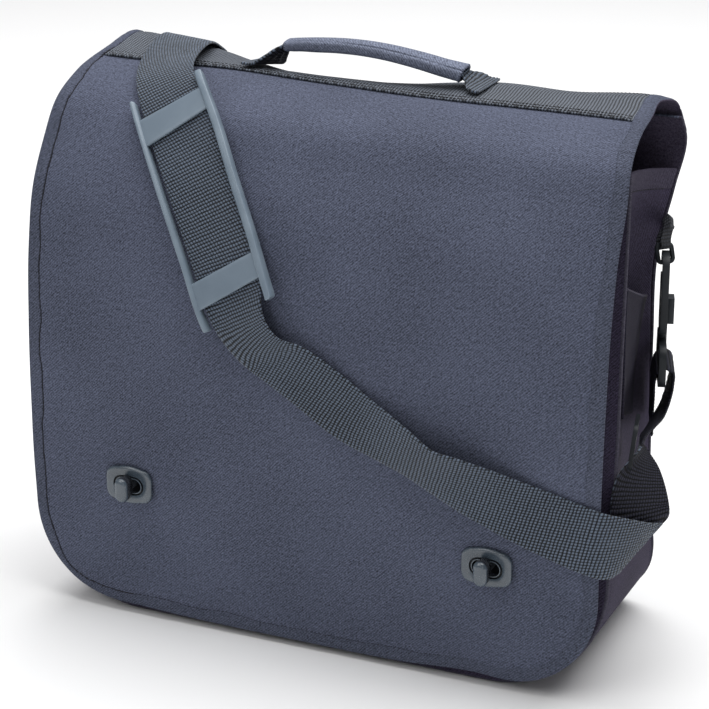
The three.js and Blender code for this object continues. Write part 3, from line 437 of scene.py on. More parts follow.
def moulded(name, base, light_tone, rough=0.4, spec=0.5):
    g = Graph(name)
    vec = g.place()
    grain, cloud = g.noise(vec, 1.6, 3, 0.6), g.noise(vec, 0.05, 3)
    edge = g.t.nodes.new("ShaderNodeNewGeometry").outputs["Pointiness"]
    # mixed towards the lighter tone on sharp convex edges, more in some patches, and with the large cloud; also a
    # little rougher on those edges
    edge_lift = g.math("MULTIPLY", g.range(edge, 0.51, 0.58, 0.0, 1.0), g.range(cloud, 0.35, 0.65, 0.35, 1.0))
    color = g.mix(g.math("ADD", g.math("MULTIPLY", edge_lift, 0.55), g.math("MULTIPLY", g.math("SUBTRACT", cloud, 0.4), 0.35)), base, light_tone)
    bump = g.bump(grain, 0.25, 0.00012)
    return g.finish(color, g.math("ADD", g.range(grain, 0.3, 0.7, rough - 0.06, rough + 0.08), g.math("MULTIPLY", edge_lift, 0.08)), bump, spec=spec)


def spun(name, light, dark):
    g = Graph(name)
    u, v, vec = g.mm()
    ply = g.wave(g.math("ADD", g.math("MULTIPLY", v, 1.6), g.math("MULTIPLY", u, 2.2)))
    color = g.mix(ply, dark, light)
    return g.finish(color, 0.6, g.bump(ply, 0.4, 0.0001), spec=0.3)


SLATE = twill("cloth_slate", rgb(0.138, 0.156, 0.228), rgb(0.023, 0.026, 0.038))
HEM_SLATE = twill("cloth_hem", rgb(0.120, 0.135, 0.194), rgb(0.020, 0.023, 0.033))
GRIP_SLATE = twill("cloth_sleeve", rgb(0.250, 0.280, 0.376), rgb(0.046, 0.052, 0.074))
# dark cloth in the hem's stitch groove: painted shade in the groove; it also colours the lower run of stitches, dark
# thread sunk in that shade
GROOVE_SHADE = twill("cloth_groove_painted_shade", rgb(0.044, 0.046, 0.064), rgb(0.010, 0.010, 0.015))
# side cloth, its top hem and the pocket cloth: darker copies of the slate cloth, painted shade for the bag's shaded
# right side and the front panel's shaded margins
SHADED_SIDE = twill("cloth_painted_shade_side", rgb(0.074, 0.062, 0.108), rgb(0.014, 0.012, 0.021), sheen=0.0)
SHADED_SIDE_HEM = twill("cloth_painted_shade_side_hem", rgb(0.084, 0.074, 0.112), rgb(0.022, 0.019, 0.031), sheen=0.0)
SHADED_POCKET = twill("cloth_painted_shade_pocket", rgb(0.030, 0.026, 0.046), rgb(0.005, 0.005, 0.008), sheen=0.0)
LINING = twill("cloth_lining", rgb(0.098, 0.083, 0.130), rgb(0.020, 0.017, 0.028), period=0.8, contrast=0.6, sheen=0.0)
BINDING = twill("cloth_binding", rgb(0.090, 0.084, 0.116), rgb(0.034, 0.032, 0.045), period=0.9, contrast=0.6, sheen=0.0)
WEB = ribbed("webbing_grey", rgb(0.122, 0.155, 0.210), rgb(0.002, 0.003, 0.005), sheen=0.25, spec=0.25)
# darker webbing: painted shade, on the strap's inner face, on the run doubled round the hook and on the handle's under
# face
WEB_SHADE = ribbed("webbing_painted_shade", rgb(0.029, 0.030, 0.048), rgb(0.002, 0.002, 0.003), sheen=0.0, spec=0.2)
BANDING = ribbed("webbing_band", rgb(0.148, 0.170, 0.208), rgb(0.012, 0.014, 0.019), rib=2.2, column=2.0)
TAB = ribbed("webbing_tab", rgb(0.040, 0.044, 0.056), rgb(0.004, 0.004, 0.006), rib=2.2, column=1.6, sheen=0.0)
GREY = moulded("plastic_grey", rgb(0.140, 0.184, 0.232), rgb(0.30, 0.365, 0.425), 0.42)
LOCK_GREY = moulded("plastic_lock", rgb(0.042, 0.059, 0.078), rgb(0.18, 0.225, 0.27), 0.22, spec=0.9)
# darker copy of the lock plastic: painted shade and dark reflection on the knobs' sides and back
LOCK_SHADE = moulded("plastic_lock_painted_shade", rgb(0.020, 0.022, 0.028), rgb(0.09, 0.10, 0.12), 0.24, spec=0.6)
LOCK_DARK = moulded("plastic_lock_base", rgb(0.026, 0.029, 0.035), rgb(0.10, 0.12, 0.14), 0.3)
BLACK = moulded("plastic_black", rgb(0.012, 0.014, 0.017), rgb(0.060, 0.070, 0.080), 0.42, spec=0.22)
THREAD = spun("thread_dark", rgb(0.024, 0.024, 0.030), rgb(0.006, 0.006, 0.008))


# ------------------------------------------------------------------ camera, light and floor
scene = bpy.context.scene
scene.view_settings.view_transform = "Standard"
cam_data = bpy.data.cameras.new("camera")
cam_data.lens, cam_data.sensor_width = 120.95, 36.0
cam = bpy.data.objects.new("camera", cam_data)
scene.collection.objects.link(cam)
cam.location = (0.6065, -1.3470, 0.7242)
cam.rotation_mode = "QUATERNION"
cam.rotation_quaternion = (Vector((0.0363, -0.080, 0.2114)) - cam.location).to_track_quat("-Z", "Y")
cam_data.clip_start, cam_data.clip_end = 0.05, 60
scene.camera = cam

floor_mesh = bpy.data.meshes.new("floor")
floor_mesh.from_pydata([(-14, -14, 0), (14, -14, 0), (14, 14, 0), (-14, 14, 0)], [], [(0, 1, 2, 3)])
floor = bpy.data.objects.new("floor", floor_mesh)
scene.collection.objects.link(floor)
floor_graph = Graph("floor_pale")
floor_mesh.materials.append(floor_graph.finish(rgb(0.93, 0.93, 0.93), 0.9, spec=0.1))

world = bpy.data.worlds.new("studio")
world.use_nodes = True
scene.world = world
world.node_tree.nodes["Background"].inputs[0].default_value = rgb(1.0, 1.0, 1.02)
world.node_tree.nodes["Background"].inputs[1].default_value = 0.20


def softbox(name, place, aim, size, power):
    data = bpy.data.lights.new(name, "AREA")
    data.shape, data.size, data.size_y, data.energy = "RECTANGLE", size[0], size[1], power
    o = bpy.data.objects.new(name, data)
    scene.collection.objects.link(o)
    o.location = place
    o.rotation_euler = (Vector(aim) - Vector(place)).to_track_quat("-Z", "Y").to_euler()
    return o


softbox("key", (-1.1, -2.2, 2.2), (0.0, -0.05, 0.22), (1.8, 1.4), 20)
softbox("overhead", (0.1, 0.5, 2.7), (0.0, 0.0, 0.2), (3.4, 3.0), 119)
softbox("fill", (1.0, -2.6, 0.9), (0.05, 0.0, 0.2), (1.4, 1.2), 4)


# ------------------------------------------------------------------ flap
flap_rows = np.array(FLAP, float)
flap_steps = (np.hypot(np.diff(flap_rows[:, 0]), np.diff(flap_rows[:, 1])) + np.linalg.norm(np.diff(flap_rows[:, 2:], axis=0), axis=1)) / 2
flap_knots = np.concatenate([[0], np.cumsum(flap_steps)])
FLAP_LENGTH = float(flap_knots[-1])
flap_row = Through(FLAP, flap_knots)


def slump(x):
    return 25 * hump((x + 35) / 90) + 4.5 * hump((x - 125) / 35)


def flap_half(s):
    """Half width of the flat flap, rounded at its lower corners."""
    low = np.minimum(s, FLAP_CORNER)
    return FLAP_HALF - FLAP_CORNER + np.sqrt(np.maximum(0, FLAP_CORNER**2 - (FLAP_CORNER - low) ** 2))


def flap_point(u, s):
    u, s = np.broadcast_arrays(np.asarray(u, float), np.asarray(s, float))
    r = flap_row(s)
    yl, zl, xr, yr, zr = (r[..., i] for i in range(5))
    k = (u + 1) / 2
    x = (-FLAP_HALF * (1 - k) + xr * k) * flap_half(s) / FLAP_HALF
    crown = 1 - u * u
    belly = 3.5 * crown * smooth(s / 120) * smooth((330 - s) / 120)
    hang = (2.4 * hump((x + 140) / 50) + 4 * hump((x - 118) / 36)) * clamp(1 - s / 70) ** 2
    dip = slump(x) * smooth((s - 396) / 60)
    hem = 4.5 * crown * smooth((s - FLAP_LENGTH + 26) / 18)
    return np.stack([x, yl * (1 - k) + yr * k - belly + hem, zl * (1 - k) + zr * k + hang - dip], -1)


SIDE_RUN = FLAP_LENGTH - FLAP_CORNER
ARC = FLAP_CORNER * math.pi / 2
STRAIGHT = FLAP_HALF - FLAP_CORNER
HEM_RUN = 2 * SIDE_RUN + 2 * ARC + 2 * STRAIGHT


def outline(x, s):
    """Distance in from the flap's sewn outline, and the place along it, from the upper left round to the upper right."""
    ax = np.abs(x)
    q, h = ax - STRAIGHT, FLAP_CORNER - s
    in_corner = (q > 0) & (h > 0)
    d = np.where(in_corner, FLAP_CORNER - np.hypot(q, h), np.minimum(FLAP_HALF - ax, s))
    ang = np.arctan2(np.maximum(h, 0), np.maximum(q, 1e-6))
    on_side = (h <= 0) & (FLAP_HALF - ax <= s)
    half = np.where(in_corner, SIDE_RUN + FLAP_CORNER * ang, np.where(on_side, FLAP_LENGTH - s, SIDE_RUN + ARC + np.minimum(STRAIGHT - ax, STRAIGHT)))
    return d, np.where(x < 0, half, HEM_RUN - half)


def hem_line(t):
    """Where the hem's stitching runs, in from the edge: sewn by hand guidance, so it wanders."""
    return HEM + 1.2 - 5.2 * hump((t - 466) / 34) + 0.4 * np.sin(t / 23 + 1) + 0.45 * np.sin(t / 8.4) + 0.7 * noise(t / 21, 0 * t, 5)


def hem_depth(t):
    """How deep the hem's stitching is drawn in: clear at the left and the bottom, faint at the right."""
    return 1 - 0.45 * smooth((t - 476) / 50) - 0.43 * smooth((t - 690) / 90)


def outline_place(t, d):
    """Flat place on the flap at t along its outline, d in from it."""
    left = t < HEM_RUN / 2
    h = np.where(left, t, HEM_RUN - t)
    side, corner = h < SIDE_RUN, (h >= SIDE_RUN) & (h < SIDE_RUN + ARC)
    ang = (h - SIDE_RUN) / FLAP_CORNER
    x = np.where(side, FLAP_HALF - d, np.where(corner, STRAIGHT + (FLAP_CORNER - d) * np.cos(ang), STRAIGHT - (h - SIDE_RUN - ARC)))
    s = np.where(side, FLAP_LENGTH - h, np.where(corner, FLAP_CORNER - (FLAP_CORNER - d) * np.sin(ang), d))
    return np.where(left, -x, x), s


def flap_relief(x, s):
    """Outward relief of the flap's outer face: hem, stitch groove, puckers and slow waves in the cloth."""
    d, t = outline(x, s)
    line = hem_line(t)
    hem = (0.5 + 1.25 * smooth((s - 386) / 10) * smooth((456 - s) / 12) * smooth((d - 0.4) / 5)) * smooth((line + 0.9 - d) / 1.1)
    groove = -0.75 * hem_depth(t) * hump((d - line) / 0.6)
    pucker = 0.5 * noise(t / 6.5, d / 9, 11) * smooth((line + 6 - d) / 8) * smooth(d / 2)
    roll = -(0.35 + 0.6 * smooth((s - 330) / 40)) * smooth((2.2 - d) / 2.2)
    wave = 0.9 * noise(x / 62, s / 48, 3) + 0.45 * noise(x / 27, s / 31, 4)
    calm = 1 - 0.8 * np.maximum(hump(np.hypot(x - LOCKS["left"][0], s - LOCKS["left"][1] + 5) / 30), hump(np.hypot(x - LOCKS["right"][0], s - LOCKS["right"][1] + 5) / 30))
    calm = calm * (1 - 0.85 * smooth((s - 380) / 14) * smooth((470 - s) / 14))
    ease = 1 - smooth((12 - d) / 10)
    end = FLAP_LENGTH - s
    hem = np.maximum(hem, 0.5 * smooth((10.9 - end) / 1.1))
    groove = np.minimum(groove, -0.7 * hump((end - 10) / 0.62))
    return hem + groove + pucker + roll + wave * (0.35 + 0.65 * ease) * calm


edge_steps = np.array([0, 0.6, 1.2, 1.9, 2.6, 3.3, 4.0, 4.7, 5.4, 6.0, 6.5, 7.0, 7.4, 7.8, 8.2, 8.6, 9.0, 9.4, 9.8, 10.3, 10.9, 11.7, 13.2, 15.5])
middle_x = np.linspace(-FLAP_HALF + 15.5, FLAP_HALF - 15.5, 118)
flap_u = np.concatenate([-FLAP_HALF + edge_steps[:-1], middle_x, (FLAP_HALF - edge_steps[:-1])[::-1]]) / FLAP_HALF
flap_s = np.concatenate([[0, 0.2, 0.45], edge_steps[1:-1], np.linspace(15.5, 290, 84)[:-1], np.linspace(290, FLAP_LENGTH - 15, 66)[:-1], FLAP_LENGTH - 15 + np.array([0, 1.5, 2.6, 3.4, 4, 4.5, 5, 5.5, 6.2, 7.2, 8.6, 10.4, 12.4, 14, 15])])
fu, fs = np.meshgrid(flap_u, flap_s, indexing="ij")
flap_mid = flap_point(fu, fs)
flap_x = fu * flap_half(fs)
flap_n = normals_of(flap_mid)  # outwards: the front's points to -Y
if flap_n[len(flap_u) // 2, 60, 1] > 0:
    flap_n = -flap_n
flap_up = CLOTH / 2 + flap_relief(flap_x, fs) - 0.9 * smooth((fs - FLAP_LENGTH + 7) / 7)
flap_uv = np.stack([flap_x, fs], -1) * 0.001
cx, cs = (flap_x[:-1, :-1] + flap_x[1:, 1:]) / 2, (fs[:-1, :-1] + fs[1:, 1:]) / 2
slot_gone = np.zeros(cx.shape, bool)
for lx, lz in LOCKS.values():
    slot_gone |= (np.abs(cx - lx) < LOCK["slot_w"] / 2 + 1.2) & (np.abs(cs - lz + 5) < LOCK["slot_h"] / 2 + 1.2)
crease = 0.8 * noise(flap_x / 14, fs / 19, 8) * smooth((fs - 290) / 40)
flap_parts = shell(flap_mid, flap_up, CLOTH / 2 + 0.4 * crease - 0.3 * (fs > 0), flap_uv, n=flap_n, keep=~slot_gone)
flap_faces = turned_out(flap_parts[0], flap_parts[1])
cell_d, cell_t = outline(cx, cs)
cell_line = hem_line(cell_t)
# a thin band of cells along the left part of the stitch line takes the painted-shade groove cloth
cell_kind = np.where((np.abs(cell_d - cell_line) < 0.42) & (cell_t < 520), 2, np.where(cell_d < cell_line, 1, 0)).ravel()
kind = np.append(cell_kind, 0)[flap_parts[3]]
cell_count = int((~slot_gone).sum())
kind[cell_count:2 * cell_count] = 3
edge_s = np.append(cs.ravel(), 0)[flap_parts[3]]
kind[2 * cell_count:][edge_s[2 * cell_count:] > 404] = 3
flap = mesh_piece("flap_cloth", flap_parts[0], flap_faces, flap_parts[2], [SLATE, HEM_SLATE, GROOVE_SHADE, LINING], face_material=kind)
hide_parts("flap")


def flap_surface(x, s, lift=0.0):
    """Points on the flap's outer face at flat places, with normals."""
    x, s = np.asarray(x, float), np.asarray(s, float)
    u = x / flap_half(s)
    e = 0.004
    n = unit(np.cross(flap_point(u + e, s) - flap_point(u - e, s), flap_point(u, s + 1.0) - flap_point(u, s - 1.0)))
    n = np.where((n[..., 1:2] - n[..., 2:3]) > 0, -n, n) if n.ndim > 1 else n
    return flap_point(u, s) + n * (CLOTH / 2 + flap_relief(x, s) + lift)[..., None], n


hem_t = np.arange(26, HEM_RUN - 26, 1.0)
hx, hs = outline_place(hem_t, hem_line(hem_t))
hem_p, hem_n = flap_surface(hx, hs, 0.12)
back_x = np.arange(-188, 188, 1.0)
back_p, back_n = flap_surface(back_x, np.full_like(back_x, FLAP_LENGTH - 10), 0.12)
back_n = np.where(back_n[:, 1:2] < 0, -back_n, back_n)
back_p = flap_point(back_x / FLAP_HALF, np.full_like(back_x, FLAP_LENGTH - 10)) + back_n * (CLOTH / 2 - 0.1)
clear_run, right_run = hem_t < 520, hem_t >= 745
v, f, t = joined([seam(hem_p[clear_run], hem_n[clear_run], radius=0.24), seam(back_p, back_n)])
flap_thread = mesh_piece("flap_stitching", v, f, t, [THREAD])
low_run = ~clear_run & ~right_run
# lower run of stitches: dark thread in the painted-shade groove cloth
v, f, t = seam(hem_p[low_run], hem_n[low_run], radius=0.22, lift=-0.06)
flap_thread_low = mesh_piece("flap_stitching_low", v, f, t, [GROOVE_SHADE])
v, f, t = seam(hem_p[right_run], hem_n[right_run], radius=0.2, lift=-0.1)
flap_thread_right = mesh_piece("flap_stitching_right", v, f, t, [HEM_SLATE])

# ------------------------------------------------------------------ webbing band along the top
band_u = np.linspace(-0.957, 0.954, 520)
band_a = np.concatenate([[0, 0.01, 0.03], np.linspace(0.06, 0.94, 26), [0.97, 0.99, 1]])
bu, ba = np.meshgrid(band_u, band_a, indexing="ij")
band_start = 395 + 3 * hump((bu + 0.45) / 0.18) - 4 * hump((bu - 0.25) / 0.35)


def band_point(u, a, start):
    s = start + a * BAND_WIDTH
    e = 0.02
    n = unit(np.cross(flap_point(u + e, s) - flap_point(u - e, s), flap_point(u, s + 2) - flap_point(u, s - 2)))
    n = np.where(n[..., 2:3] < 0, -n, n)
    low = 0.35 * smooth((np.abs(u) - 0.915) / 0.035)[..., None]
    return flap_point(u, s) + n * (2.05 - low), n


band_mid, band_n = band_point(bu, ba, band_start)
band_x = bu * FLAP_HALF
pressed = 0.5 * hump((ba - 0.035) / 0.014) + 0.5 * hump((ba - 0.105) / 0.014) + 0.5 * hump((ba - 0.965) / 0.014) + 0.5 * hump((ba - 0.9) / 0.014)
band_up = 0.7 - 0.25 * smooth((np.abs(bu) - 0.93) / 0.02) + 0.16 * np.abs(np.sin(np.pi * band_x / 2.2)) - pressed + 0.25 * noise(band_x / 17, ba * 3, 21)
band_uv = np.stack([ba * BAND_WIDTH, band_x], -1) * 0.001
parts = shell(band_mid, band_up, 0.7, band_uv, n=band_n)
band = mesh_piece("top_band", parts[0], turned_out(parts[0], parts[1]), parts[2], [BANDING])
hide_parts("top_webbing")
rows = []
for a in (0.035, 0.105, 0.9, 0.965):
    line_u = np.linspace(-0.95, 0.947, 900)
    p, n = band_point(line_u, np.full_like(line_u, a), 395 + 3 * hump((line_u + 0.45) / 0.18) - 4 * hump((line_u - 0.25) / 0.35))
    rows.append(seam(p + n * 0.42, n, pitch=2.6, radius=0.42))
v, f, t = joined(rows)
band_thread = mesh_piece("band_stitching", v, f, t, [THREAD])

# ------------------------------------------------------------------ front and back panels
front_row, back_row = by_first(FRONT), by_first(BACK)


def front_y(x, z):
    r = front_row(z)
    return r[..., 2] + (r[..., 1] - r[..., 2]) * np.minimum(1, np.abs(x / r[..., 0])) ** 4


def back_y(x, z):
    r = back_row(z)
    return r[..., 3] + (np.where(x < 0, r[..., 1], r[..., 2]) - r[..., 3]) * np.minimum(1, np.abs(x / r[..., 0])) ** 4


def corner(hw, z, r):
    return np.where(z < r + 1, hw - r + np.sqrt(np.maximum(0, r * r - (r + 1 - np.minimum(z, r + 1)) ** 2)), hw)


def panel_kind(d, cell, count):
    """Binding on the outer face next to the edge, lining on the inner face."""
    kind = (d[cell] < 1.3).astype(int)
    kind[count:2 * count] = 2
    return kind


def panel(name, row, y_at, radius, top, sag, seed, outwards):
    us = np.concatenate([[-1, -0.997, -0.993, -0.989, -0.985, -0.978, -0.966], np.linspace(-0.95, 0.95, 78), [0.966, 0.978, 0.985, 0.989, 0.993, 0.997, 1]])
    ang = np.linspace(0, math.pi / 2, 20)
    zs = np.concatenate([1.2 + (radius - 0.2) * (1 - np.cos(ang)), np.linspace(radius + 1, top - 14, 62)[1:], top - 14 + np.array([1.5, 2.6, 3.4, 4, 4.6, 5.4, 6.6, 8.5, 11, 13, 14])])
    u, z = np.meshgrid(us, zs, indexing="ij")
    hw = corner(row(z)[..., 0], z, radius)
    x = u * hw
    mid = np.stack([x, y_at(x, z), z - sag(x) * smooth((z - 180) / 165)], -1)
    n = normals_of(mid)
    if n[40, 50, 1] * outwards < 0:
        n = -n
    q, h = np.abs(x) - (row(z)[..., 0] - radius), radius + 1 - z
    d = np.where((q > 0) & (h > 0), radius - np.hypot(q, h), np.minimum(row(z)[..., 0] - np.abs(x), np.maximum(z - 1, 0)))
    bound = smooth((1.7 - d) / 0.6) * smooth(d / 0.8 + 0.3)
    wave = 1.0 * noise(x / 58, z / 52, seed) + 0.5 * noise(x / 25, z / 29, seed + 1)
    ease = smooth((d - 6) / 22) * smooth((top - z) / 26)
    up = 1.0 + 0.35 * bound - 0.5 * hump((d - 3.9) / 0.6) + wave * 0.8 * ease - 0.55 * hump((top - z - 10) / 0.7) + 0.35 * smooth((10.6 - top + z) / 1.2)
    lumps = np.maximum(0, crumple(x / 17, z / 15, seed + 5) + 0.15) * smooth((z - top + 90) / 40) * smooth((top - z - 6) / 14) * smooth((d - 8) / 12)
    parts = shell(mid, up, 1.0 - 0.5 * wave * ease + 2.6 * lumps, np.stack([x, z], -1) * 0.001, n=n)
    dc = (d[:-1, :-1] + d[1:, 1:]) / 2
    dc = np.append(dc.ravel(), 99.0)
    piece = mesh_piece(name, parts[0], turned_out(parts[0], parts[1]), parts[2], [SHADED_SIDE, BINDING, LINING], face_material=panel_kind(dc, parts[3], (len(us) - 1) * (len(zs) - 1)))
    return piece, mid, n


# the front panel's outer face is the painted-shade side cloth
front, front_mid, _ = panel("front_cloth", front_row, front_y, FRONT_CORNER, 328, lambda x: 0 * x, 31, -1)
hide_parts("front_panel")
back, back_mid, _ = panel("back_cloth", back_row, back_y, BACK_CORNER, 345, slump, 37, 1)
back.data.materials[0] = SLATE
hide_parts("back_panel")

# ------------------------------------------------------------------ gusset: sides and bottom
fold_row = by_first(FOLD)
SEAM = CLOTH / 2 + 0.7


def gusset_point(side, t, s):
    side, t, s = np.broadcast_arrays(np.asarray(side, float), np.asarray(t, float), np.asarray(s, float))

    def edge(row, y_at, r, top, sign):
        z = np.where(t <= 1, top + (r + 1 - top) * t, np.where(t <= 2, r + 1 - r * np.sin((t - 1) * math.pi / 2), 1.0))
        hw = row(z)[..., 0]
        x = np.where(t <= 1, hw - 1.3, np.where(t <= 2, hw - r + (r - 1.3) * np.cos((t - 1) * math.pi / 2), (hw - r) * (3 - t)))
        return np.stack([side * x, y_at(side * np.where(t < 2, x + 1.3, x), z) + sign * SEAM, z], -1)

    p = edge(front_row, front_y, FRONT_CORNER, GUSSET_TOP_FRONT, 1) * (1 - s[..., None]) + edge(back_row, back_y, BACK_CORNER, GUSSET_TOP_BACK, -1) * s[..., None]
    fold = np.where(t < 1, fold_row(p[..., 2])[..., 0] * 4 * s * (1 - s) * (0.75 + 0.5 * s), 0)
    p[..., 0] -= side * fold
    return p


half_t = np.concatenate([np.array([0, 0.004, 0.012, 0.022, 0.032, 0.040, 0.045, 0.05, 0.055, 0.062, 0.075]), np.linspace(0.095, 1, 70), np.linspace(1, 2, 26)[1:], np.linspace(2, 3, 24)[1:]])
gt = np.concatenate([half_t, half_t[-2::-1]])
gside = np.concatenate([np.ones(len(half_t)), -np.ones(len(half_t) - 1)])
gs = np.concatenate([[0, 0.01, 0.022, 0.034, 0.045], np.linspace(0.065, 0.935, 34), [0.955, 0.966, 0.978, 0.99, 1]])
GT, GS = np.meshgrid(np.arange(len(gt)), gs, indexing="ij")
gusset_mid = gusset_point(gside[GT], gt[GT], GS)
ease = smooth(GS / 0.12) * smooth((1 - GS) / 0.12)
upper = smooth((0.95 - gt[GT]) / 0.9)
sag = ease * (1.2 * crumple(gt[GT] * 6.5, GS * 2.3 + 1.3 * gt[GT], 51) + 0.9 * noise(gt[GT] * 16, GS * 5, 57) * smooth((0.35 - gt[GT]) / 0.3))
gusset_mid[..., 0] -= gside[GT] * np.where(gt[GT] < 1, (sag + 0.8) * upper, 0)
gusset_n = normals_of(gusset_mid)
if gusset_n[30, 18, 0] < 0:
    gusset_n = -gusset_n
path_len = np.concatenate([[0], np.cumsum(np.linalg.norm(np.diff(gusset_mid[:, 19], axis=0), axis=1))])
across_len = np.linalg.norm(np.diff(gusset_mid, axis=1), axis=2).sum(1)
gusset_uv = np.stack([GS * across_len.mean(), path_len[GT]], -1) * 0.001
down_top = gt[GT]
g_up = 1.0 - 0.55 * hump((down_top - 0.05) / 0.0032) + 0.35 * smooth((0.052 - down_top) / 0.006) - 0.4 * hump((GS - 0.04) / 0.008) - 0.4 * hump((GS - 0.96) / 0.008)
parts = shell(gusset_mid, g_up, 1.0, gusset_uv, n=gusset_n)
gusset_count = (len(gt) - 1) * (len(gs) - 1)
kind = np.append(((down_top[:-1, :-1] + down_top[1:, 1:]) / 2 < 0.05).astype(int).ravel(), 0)[parts[3]]
kind[gusset_count:2 * gusset_count] = 2
# gusset: painted-shade side cloth outside, a painted-shade copy of it for the top hem band
gusset = mesh_piece("gusset_cloth", parts[0], turned_out(parts[0], parts[1]), parts[2], [SHADED_SIDE, SHADED_SIDE_HEM, LINING], face_material=kind)
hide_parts("gusset")

rows = []
for end in (1, -1):
    line_s = np.linspace(0.05, 0.95, 240)
    on_t = np.argmin(np.abs(half_t - 0.05))
    column_i = on_t if end > 0 else len(gt) - 1 - on_t
    p = np.stack([np.interp(line_s, gs, gusset_mid[column_i, :, c_]) for c_ in range(3)], 1)
    q = np.stack([np.interp(line_s, gs, gusset_n[column_i, :, c_]) for c_ in range(3)], 1)
    rows.append(seam(p + q * 0.62, q))
v, f, t = joined(rows)
gusset_thread = mesh_piece("gusset_stitching", v, f, t, [THREAD])

# pocket on the right side
pa = np.linspace(0, 1, 44)
pb = np.concatenate([np.linspace(0, 0.94, 40), [0.955, 0.968, 0.98, 0.99, 1]])
PA, PB = np.meshgrid(pa, pb, indexing="ij")
s1 = 0.66 + 0.27 * PB
ps = 0.06 + (s1 - 0.06) * PA
pt = 0.57 - 0.3 * PB + 0.05 * PA - 0.016 * PB * (1 - PA) ** 2
lift = np.array([CLOTH / 2 + 1.9, 0, 0])
base = gusset_point(1, pt, ps) + lift
chord = gusset_point(1, pt, 0.06 + 0 * ps) * (1 - PA[..., None]) + gusset_point(1, pt, s1) * PA[..., None] + lift
chord[..., 0] += 3 * np.sin(np.pi * PA) * PB
w = smooth(PB / 0.4)[..., None]
pocket_mid = base * (1 - w) + chord * w
pocket_mid[..., 0] += 0.5 * noise(PA * 4, PB * 4, 61) * np.sin(np.pi * PA) * smooth(PB / 0.3)
pocket_n = normals_of(pocket_mid)
if pocket_n[20, 20, 0] < 0:
    pocket_n = -pocket_n
roll = smooth((PB - 0.94) / 0.02)
p_up = 0.8 + 0.12 * roll - 0.15 * hump((PB - 0.93) / 0.012)
parts = shell(pocket_mid, p_up, 0.8 + 0.1 * roll, np.stack([PA * 90, PB * 80], -1) * 0.001, n=pocket_n)
bc = np.append(((PB[:-1, :-1] + PB[1:, 1:]) / 2).ravel(), 0)
ac = np.append(((PA[:-1, :-1] + PA[1:, 1:]) / 2).ravel(), 0)
# pocket in the painted-shade pocket cloth, bound at its mouth
pocket = mesh_piece("side_pocket_cloth", parts[0], turned_out(parts[0], parts[1]), parts[2], [SHADED_POCKET, BINDING], face_material=bc[parts[3]] > 0.986)
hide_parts("side_pocket")

# ------------------------------------------------------------------ shoulder strap
def ends(rows):
    r = np.array(rows, float)
    w = unit(r[:, 3:6]) * r[:, 6:7]
    return np.concatenate([r[:, :3] + w, r[:, :3] - w], 1)


strap_rows = np.concatenate([ends(RIGHT_END), np.array(TURN, float), np.array(RUN, float), ends(LEFT_END)])
strap_mid = (strap_rows[:, :3] + strap_rows[:, 3:]) / 2
strap_knots = np.concatenate([[0], np.cumsum(np.maximum(2, np.linalg.norm(np.diff(strap_mid, axis=0), axis=1)))])
strap_at = Through(strap_rows, strap_knots)
STRAP_LENGTH = float(strap_knots[-1])


def strap_frame(t):
    t = np.asarray(t, float)
    r = strap_at(t)
    c, half = (r[..., :3] + r[..., 3:]) / 2, (r[..., :3] - r[..., 3:]) / 2
    size = np.linalg.norm(half, axis=-1, keepdims=True)
    half = half * np.minimum(1, STRAP_WIDTH / 2 / size)
    a, b = strap_at(t - 1), strap_at(t + 1)
    d = unit((b[..., :3] + b[..., 3:] - a[..., :3] - a[..., 3:]) / 2)
    return c, half, d, unit(np.cross(half, d))


fine_t = np.arange(0, STRAP_LENGTH, 0.5)
fine_c = strap_frame(fine_t)[0]


def strap_knot(x, y, z):
    return float(fine_t[np.argmin(np.linalg.norm(fine_c - np.array([x, y, z]), axis=1))])


pad_low, pad_high = strap_knot(-45, -88, 231) + PAD["shift"], strap_knot(-112, -42, 340) + PAD["shift"]
pad_bow = by_first(PAD_BOW)
strap_t = np.linspace(0, STRAP_LENGTH, int(STRAP_LENGTH / RIB) * 4 + 1)
strap_a = np.concatenate([[-1, -0.985, -0.95], np.linspace(-0.88, 0.88, 13), [0.95, 0.985, 1]])
c, half, d, n = strap_frame(strap_t)
strap_p = c[:, None] + half[:, None] * strap_a[None, :, None]
# pressed flat in the shoulder frame, so that it reaches the right rail
spread = 0.7 * (PAD["right"][0] - STRAP_WIDTH / 2 + pad_bow(strap_t - pad_low)[:, 0]) * smooth((strap_t - pad_low + 14) / 14) * smooth((pad_high + 16 - strap_t) / 14)
strap_p = strap_p + unit(half)[:, None] * (spread[:, None] * (strap_a[None] + 1) / 2)[..., None]
strap_nn = np.broadcast_to(n[:, None], strap_p.shape)
lip = 1 - 0.35 * smooth((np.abs(strap_a)[None] - 0.94) / 0.06)
ripple = 0.3 * noise(strap_t[:, None] / 16, strap_a[None] * 1.5, 71) * smooth((np.abs(strap_a)[None] - 0.4) / 0.6)
lean = ((strap_p - c[:, None]) * d[:, None]).sum(-1)  # how far each point lies ahead of its row, so that the ribs run square across
strap_uv = np.stack(np.broadcast_arrays(strap_a[None] * 20, strap_t[:, None] + lean), -1) * 0.001
rib = np.abs(np.sin(np.pi * (strap_t[:, None] + lean) / RIB))
face_up = (0.6 + 0.4 * rib) * lip
parts = shell(strap_p + strap_nn * ripple[..., None], face_up, face_up, strap_uv, n=strap_nn, rim=0.5)
